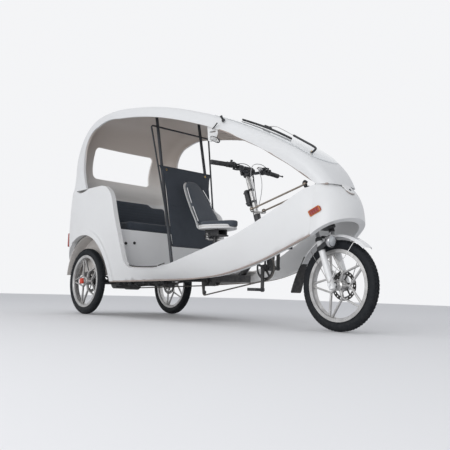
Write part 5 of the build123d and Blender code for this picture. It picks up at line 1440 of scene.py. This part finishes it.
# columns: x, z, half width of the flap
FLAP_ROWS = [(2082, 462, 29), (2062, 420, 30), (2046, 384, 36), (2030, 340, 46), (2012, 290, 50),
             (1996, 240, 52), (1990, 226, 50)]
FLAP_ACROSS = 8
points = []
for x, z, half in FLAP_ROWS:
    for column in range(FLAP_ACROSS + 1):
        share = 2 * column / FLAP_ACROSS - 1
        points.append(at(x - 3 * share * share, share * half, z))
flap = add_piece("rubber_flap", mesh_of("flap", points, grid_faces(len(FLAP_ROWS) - 1, FLAP_ACROSS)),
                 [rubber_black], "fork", stands_for=["mud_flap"])
reshape(flap, ("SOLIDIFY", {"thickness": 0.0035, "offset": 0}),
        ("SUBSURF", {"levels": 1, "render_levels": 1}))
print("flap", len(flap.data.polygons), "faces")

# %% Boots and eye guards of the tie rods
boot = [(-0.013, 0.005), (-0.013, 0.0100), (-0.010, 0.0125), (-0.006, 0.0110), (0.000, 0.0115),
        (0.006, 0.0110), (0.010, 0.0125), (0.013, 0.0100), (0.013, 0.005)]
# columns: forward and up from the fork's foot, in millimetres
EYE_GUARD = [(6, 697), (10, 706), (21, 711), (32, 706), (40, 692)]
for side, label in SIDES:
    eyes = [on_stem(21, side * 60, 69), on_fork(21, side * 60, 688.5)]
    add_piece("rod_boots_" + label, gather("boots", [lathe(boot, 32, eye) for eye in eyes]),
              [rubber_black], "tie_rod_" + label)
for side, label in SIDES:
    add_wire("eye_guard_" + label, [raked(FORK_AT, forward, side * 60, up) for forward, up in EYE_GUARD],
             0.0065, plastic_black, "tie_rod_" + label, order=3)
print("boots on the tie rods")

# %% [markdown]
# The body's small things: brownish wires of painted shade under the hull's, the roof's and the
# tongue's rims, the tongue that bolts the roof to the nose, the side markers' amber frames, the roof
# bracket's grab loop and knob, the wiper, the bench's latches and the sill's rubber strip, which also
# stands for the shadowed gap there.

# %% Painted shade lines along the hull's lower rim and the roof's rim
def lower_edge(name, side, start, stop, step=34):
    """The lowest corners of a node on one side, station by station along the vehicle, evened."""
    body = nodes[name]
    spots = [body.matrix_world @ vertex.co for vertex in body.data.vertices]
    line = []
    for x in range(start, stop, step):
        near = [spot for spot in spots
                if abs(spot.x - REAR_AXLE - x * MM) < step / 2 * MM and spot.y * side > 0.02]
        if near:
            line.append(min(near, key=lambda spot: spot.z).copy())
    for _ in range(3):
        evened = [(before + spot * 2 + after) / 4 for before, spot, after in zip(line, line[1:], line[2:])]
        line = [line[0]] + evened + [line[-1]]
    return line


# columns: x, z and half width of the hull's lower rim
LOWER_RIM = [(458, 279, 494), (700, 285, 452), (1000, 295, 385), (1300, 305, 335), (1600, 337, 290),
             (1900, 421, 248), (2100, 500, 229), (2290, 574, 219)]
for side, label in SIDES:
    # a brown wire of painted shade under the hull's lower rim
    add_wire("hull_rim_shade_line_" + label, [at(x, side * (w + 1), z - 2) for x, z, w in LOWER_RIM], 0.0062,
             painted_rim_shade, "chassis", order=3)
    # a brown wire of painted shade under the roof's rim
    roof_rim = [spot - Vector((0, 0, MM)) for spot in lower_edge("roof_shell", side, 1530, 2360)]
    add_wire("roof_rim_shade_line_" + label, roof_rim, 0.0056, painted_rim_shade, "chassis", order=3)
print("rim shade lines")

# %% The tongue over the nose
tongue_out = Vector((0.717, 0, 0.697))
tongue_up = Vector((-0.697, 0, 0.717))
tongue_place = (Matrix.Translation(at(2407, 0, 863) + tongue_out * 0.003)
                @ axes((0, 1, 0), tongue_up, tongue_out))
tongue_corners = [(-0.030, -0.042), (0.030, -0.042), (0.044, 0.040), (-0.044, 0.040)]
tongue_outline = round_corners(tongue_corners, 0.026, steps=7)
add_piece("nose_tongue", gather("tongue", [
    plate([tongue_outline], 0.007, tongue_place, soft=0.002),
    peg([(0.003, 0.0), (0.003, 0.0085), (0.006, 0.0080), (0.0075, 0.0050), (0.0078, 0.0)], 24,
        tongue_place @ Matrix.Translation((0, -0.010, 0))),
], tones=[0, 1]), [hull_white, plastic_black], "chassis")
tongue_rim = [tongue_place @ Vector((x, y, -0.0015)) for x, y in tongue_outline if y < 0.02]
# a brown wire of painted shade along the tongue's lower edge, where it overhangs the nose
add_wire("tongue_shade_line", tongue_rim, 0.0024, painted_rim_shade, "chassis", order=2)
print("tongue over the nose")

# %% The side markers
MARKER_TURN, MARKER_LEAN = math.radians(15), math.radians(27)
MARKER_CORNERS = [(-0.040, -0.020), (0.040, -0.020), (0.040, 0.020), (-0.040, 0.020)]
for side, label in SIDES:
    outward = Vector((math.sin(MARKER_TURN), side * math.cos(MARKER_TURN), 0))
    sideways = Vector((math.cos(MARKER_TURN), -side * math.sin(MARKER_TURN), 0))
    marker_place = (Matrix.Translation(at(2314, side * 201, 716) + outward * 0.010)
                    @ axes(sideways, (0, 0, 1), outward) @ Matrix.Rotation(MARKER_LEAN, 4, "Z"))
    lens = [plate([round_corners(MARKER_CORNERS, 0.009)], 0.005, marker_place, soft=0.0015)]
    for column in range(4):
        spot = Matrix.Translation(((column - 1.5) * 0.016, 0, 0.003))
        lens.append(block((0.0150, 0.030, 0.005), marker_place @ spot, bevel=0.001))
    lens.append(block((0.060, 0.0025, 0.0052), marker_place @ Matrix.Translation((0, 0.002, 0.003)),
                      bevel=0.0008))
    add_piece("marker_lens_" + label, gather("marker", lens, tones=[0, 1, 1, 1, 1, 2]),
              [lens_amber, lens_red, plastic_black], "chassis")
print("markers")

# %% The loop, rod and knob at the roof bracket
# columns: x and z in millimetres
loop = [(1524, 1268), (1530, 1284), (1560, 1276), (1606, 1254), (1628, 1236), (1620, 1222),
        (1590, 1232), (1546, 1252)]
add_wire("grab_loop", [at(x, -384, z) for x, z in loop], 0.0045, plastic_black, "chassis", closed=True)
inner_loop = [at(x * 0.8 + 1576 * 0.2, -391, z * 0.8 + 1253 * 0.2) for x, z in loop]
add_wire("grab_loop_inner", inner_loop, 0.0035, bright_steel, "chassis", closed=True)
add_wire("bracket_rod", [at(1541, -381, 1334), at(1580, -390, 1346), at(1612, -400, 1358)], 0.0042,
         plastic_black, "chassis", order=3)
knob_out = Vector((0.1, -0.75, 0.66)).normalized()
knob = peg([(-0.004, 0.0), (-0.004, 0.0130), (0.004, 0.0130), (0.008, 0.0080), (0.026, 0.0070),
            (0.030, 0.0100), (0.036, 0.0100), (0.038, 0.0)], 28, facing(at(1618, -350, 1386), knob_out))
add_piece("roof_knob", gather("knob", [knob]), [plastic_black], "chassis")
print("loop and knob")

# %% The wiper: blade and rail, clip, pale arm, black arm and pivot
WIPER_Y = -90


def wiper_line(spots, lift=0):
    """Places over the screen from (x, z) in millimetres."""
    return [at(x, WIPER_Y, z + lift) for x, z in spots]


blade_line = [(1528, 1460), (1650, 1409), (1775, 1353), (1900, 1293), (2012, 1230)]
pale_arm = [(1790, 1362), (1850, 1356), (1910, 1328), (2036, 1252)]
black_arm = [(2030, 1256), (2120, 1202), (2222, 1142), (2218, 1128), (2184, 1112)]
add_wire("wiper_rail", wiper_line(blade_line, 9), 0.0055, plastic_black, "chassis", order=3)
add_wire("wiper_rubber", wiper_line(blade_line, 1), 0.0026, rubber_black, "chassis", order=3)
add_wire("wiper_arm_pale", wiper_line(pale_arm), 0.0026, bright_steel, "chassis", order=3)
add_wire("wiper_arm_black", wiper_line(black_arm), 0.0072, plastic_black, "chassis", order=3)
arm_lean = Matrix.Rotation(math.radians(26), 4, "Y")
pivot = facing(at(2180, WIPER_Y, 1110), (0.5, 0, 0.86))
add_piece("wiper_fittings", gather("wiper", [
    block((0.070, 0.018, 0.018), Matrix.Translation(at(1790, WIPER_Y, 1358)) @ arm_lean, bevel=0.004),
    peg([(-0.012, 0.0), (-0.012, 0.0120), (0.006, 0.0120), (0.010, 0.0090), (0.014, 0.0)], 28, pivot),
    peg([(0.014, 0.0), (0.014, 0.0050), (0.019, 0.0050), (0.020, 0.0)], 20, pivot),
], tones=[0, 0, 1]), [plastic_black, brass], "chassis", stands_for=["wiper"])
print("wiper")

# %% Springs and clamp under the rider's seat
SPRING_X, SPRING_LOW, SPRING_TALL = 1124, 612, 58
SPRING_R, SPRING_TURNS, SPRING_STEPS = 15, 4.5, 64
for side, label in SIDES:
    coil = []
    for step in range(SPRING_STEPS):
        share = step / (SPRING_STEPS - 1)
        x, y = polar(SPRING_R, 2 * math.pi * SPRING_TURNS * share)
        coil.append(at(SPRING_X + x, side * 52 + y, SPRING_LOW + SPRING_TALL * share))
    add_wire("seat_spring_" + label, coil, 0.0030, bright_steel, "chassis")
clamp = peg([(-0.062, 0.0), (-0.062, 0.0090), (-0.054, 0.0110), (0.054, 0.0110), (0.062, 0.0090),
             (0.062, 0.0)], 28, facing(at(SPRING_X + 20, 0, SPRING_LOW + 6), (0, 1, 0)))
add_piece("seat_clamp", gather("clamp", [clamp]), [bright_steel], "chassis")
print("seat springs")

# %% Latches of the bench, and the rubber strip on the sill that also stands for the shadowed gap there
latch = [(0.0, 0.0), (0.0, 0.0120), (0.004, 0.0120), (0.007, 0.0085), (0.012, 0.0080), (0.014, 0.0060),
         (0.014, 0.0)]
for number, y in enumerate((-402, -322)):
    place = facing(at(514.6, y, 586 + 8 * number), (1, 0, 0))
    add_piece("bench_latch_%d" % number, peg(latch, 28, place), [plastic_black], "chassis")
# columns: x, half width and z in millimetres
# the dark strip is partly the mat's real rubber edge and partly painted shade of the gap inside the sill
STRIP = [(745, 503, 403), (790, 503, 391), (1000, 503, 386), (1110, 500, 389)]
STRIP_END = [(1122, 498, 394), (1186, 490, 409)]
for side, label in SIDES:
    add_wire("sill_strip_" + label, [at(x, side * y, z) for x, y, z in STRIP], 0.0042, rubber_black,
             "chassis", order=3)
    add_wire("sill_strip_end_" + label, [at(x, side * y, z) for x, y, z in STRIP_END], 0.0035,
             rubber_black, "chassis", order=2)
print("latches and sill strips")

# %% [markdown]
# From low down the underside shows against the light: a loom, a brake line and a row of clips.
# Three wires and a gather of small turned blocks give that broken outline.

# %% Cables and clips under the floor
# columns: name, thickness, points in millimetres
UNDER_RUNS = [
    ("loom_right", 0.007, [
        (-60, -240, 330), (120, -262, 276), (300, -236, 296), (420, -250, 252), (560, -230, 284),
        (720, -244, 262), (900, -200, 300), (1040, -120, 316)]),
    ("loom_middle", 0.006, [
        (60, -180, 300), (200, -196, 262), (380, -176, 240), (520, -190, 262), (700, -170, 246),
        (880, -140, 286), (1000, -60, 300)]),
    ("brake_line", 0.0028, [
        (20, -300, 320), (90, -290, 262), (180, -262, 262), (320, -256, 284), (480, -262, 270),
        (760, -252, 286), (1020, -180, 310)]),
]
for name, radius, spots in UNDER_RUNS:
    add_wire(name, [at(*spot) for spot in spots], radius, rubber_black, "chassis")
CLIP_COUNT, CLIP_FIRST, CLIP_STEP = 14, 90, 62
clips = []
for number in range(CLIP_COUNT):
    place = at(CLIP_FIRST + number * CLIP_STEP, -238 + 26 * math.sin(number * 2.1),
               282 + 16 * math.cos(number * 1.7))
    size = (0.030 + 0.008 * (number % 3), 0.036, 0.030 + 0.006 * (number % 4))
    turned = Matrix.Rotation(number * 0.7, 4, "X")
    clips.append(block(size, Matrix.Translation(place) @ turned, bevel=0.006))
add_piece("under_clips", gather("clips", clips), [plastic_black], "chassis")
print("underside dressed")

# %% [markdown]
# Seen from the side, a moped tyre's edge is knobbly. Two rows of slanted lugs on each shoulder
# stand over the fine rows of the tread and give that edge. The section of the construction's
# plain tyre gives the height at which every lug sits.

# %% Where the shoulder of a tyre runs
# columns: angle from the crown in degrees, length, width, shift in lugs
LUG_ROWS = [(31, 0.0150, 0.0100, 0.0), (55, 0.0115, 0.0085, 0.5)]
LUG_COUNT, LUG_SKEW = 76, 0.35
# columns: height over the shoulder, taper
LUG_ENDS = ((-0.003, 1.1), (0.0018, 0.8))
LUG_FACES = ((3, 2, 1, 0), (4, 5, 6, 7), (0, 1, 5, 4), (1, 2, 6, 5), (2, 3, 7, 6), (3, 0, 4, 7))


def tyre_section(tyre):
    """A tyre's hub, the radius of its tube's middle, and its section as (degrees, reach)."""
    mesh = evaluated_mesh(nodes[tyre])
    spots = [vertex.co.copy() for vertex in mesh.vertices]
    bpy.data.meshes.remove(mesh)
    low = Vector([min(spot[axis] for spot in spots) for axis in range(3)])
    high = Vector([max(spot[axis] for spot in spots) for axis in range(3)])
    hub = (low + high) / 2
    ring = (high.z - low.z) / 2 - (high.y - low.y) / 2
    section = []
    for spot in spots:
        rise = math.hypot(spot.x - hub.x, spot.z - hub.z) - ring
        aside = spot.y - hub.y
        section.append((math.degrees(math.atan2(abs(aside), rise)), math.hypot(rise, aside)))
    return hub, ring, section


print(len(LUG_ROWS) * 2 * LUG_COUNT, "lugs on each tyre")

# %% Shoulder lugs of the tyres
def shoulder_lugs(tyre):
    """Tapered lugs in rows round a tyre."""
    hub, ring, section = tyre_section(tyre)
    points, faces = [], []
    for degrees, long, wide, shift in LUG_ROWS:
        near = [reach for turn, reach in section if abs(turn - degrees) < 7]
        reach = sum(near) / len(near)
        lean = math.radians(degrees)
        for side in (-1, 1):
            for number in range(LUG_COUNT):
                turn = 2 * math.pi * (number + shift + (0.25 if side > 0 else 0)) / LUG_COUNT
                radial = Vector((math.cos(turn), 0, math.sin(turn)))
                along = Vector((-math.sin(turn), 0, math.cos(turn)))
                out = radial * math.cos(lean) + Vector((0, side * math.sin(lean), 0))
                across = out.cross(along)
                first = len(points)
                for height, taper in LUG_ENDS:
                    centre = hub + radial * ring + out * (reach + height)
                    for u, v in ((-1, -1), (1, -1), (1, 1), (-1, 1)):
                        skewed = u * long / 2 * taper + LUG_SKEW * side * v * wide / 2
                        points.append(centre + along * skewed + across * (v * wide / 2 * taper))
                faces += [tuple(first + corner for corner in face) for face in LUG_FACES]
    return mesh_of("lugs", points, faces)


for wheel, _, _ in WHEELS:
    add_piece("tread_" + wheel.replace("_wheel", ""), shoulder_lugs(wheel + "_tyre"), [tyre_black], wheel)
print("shoulder lugs")
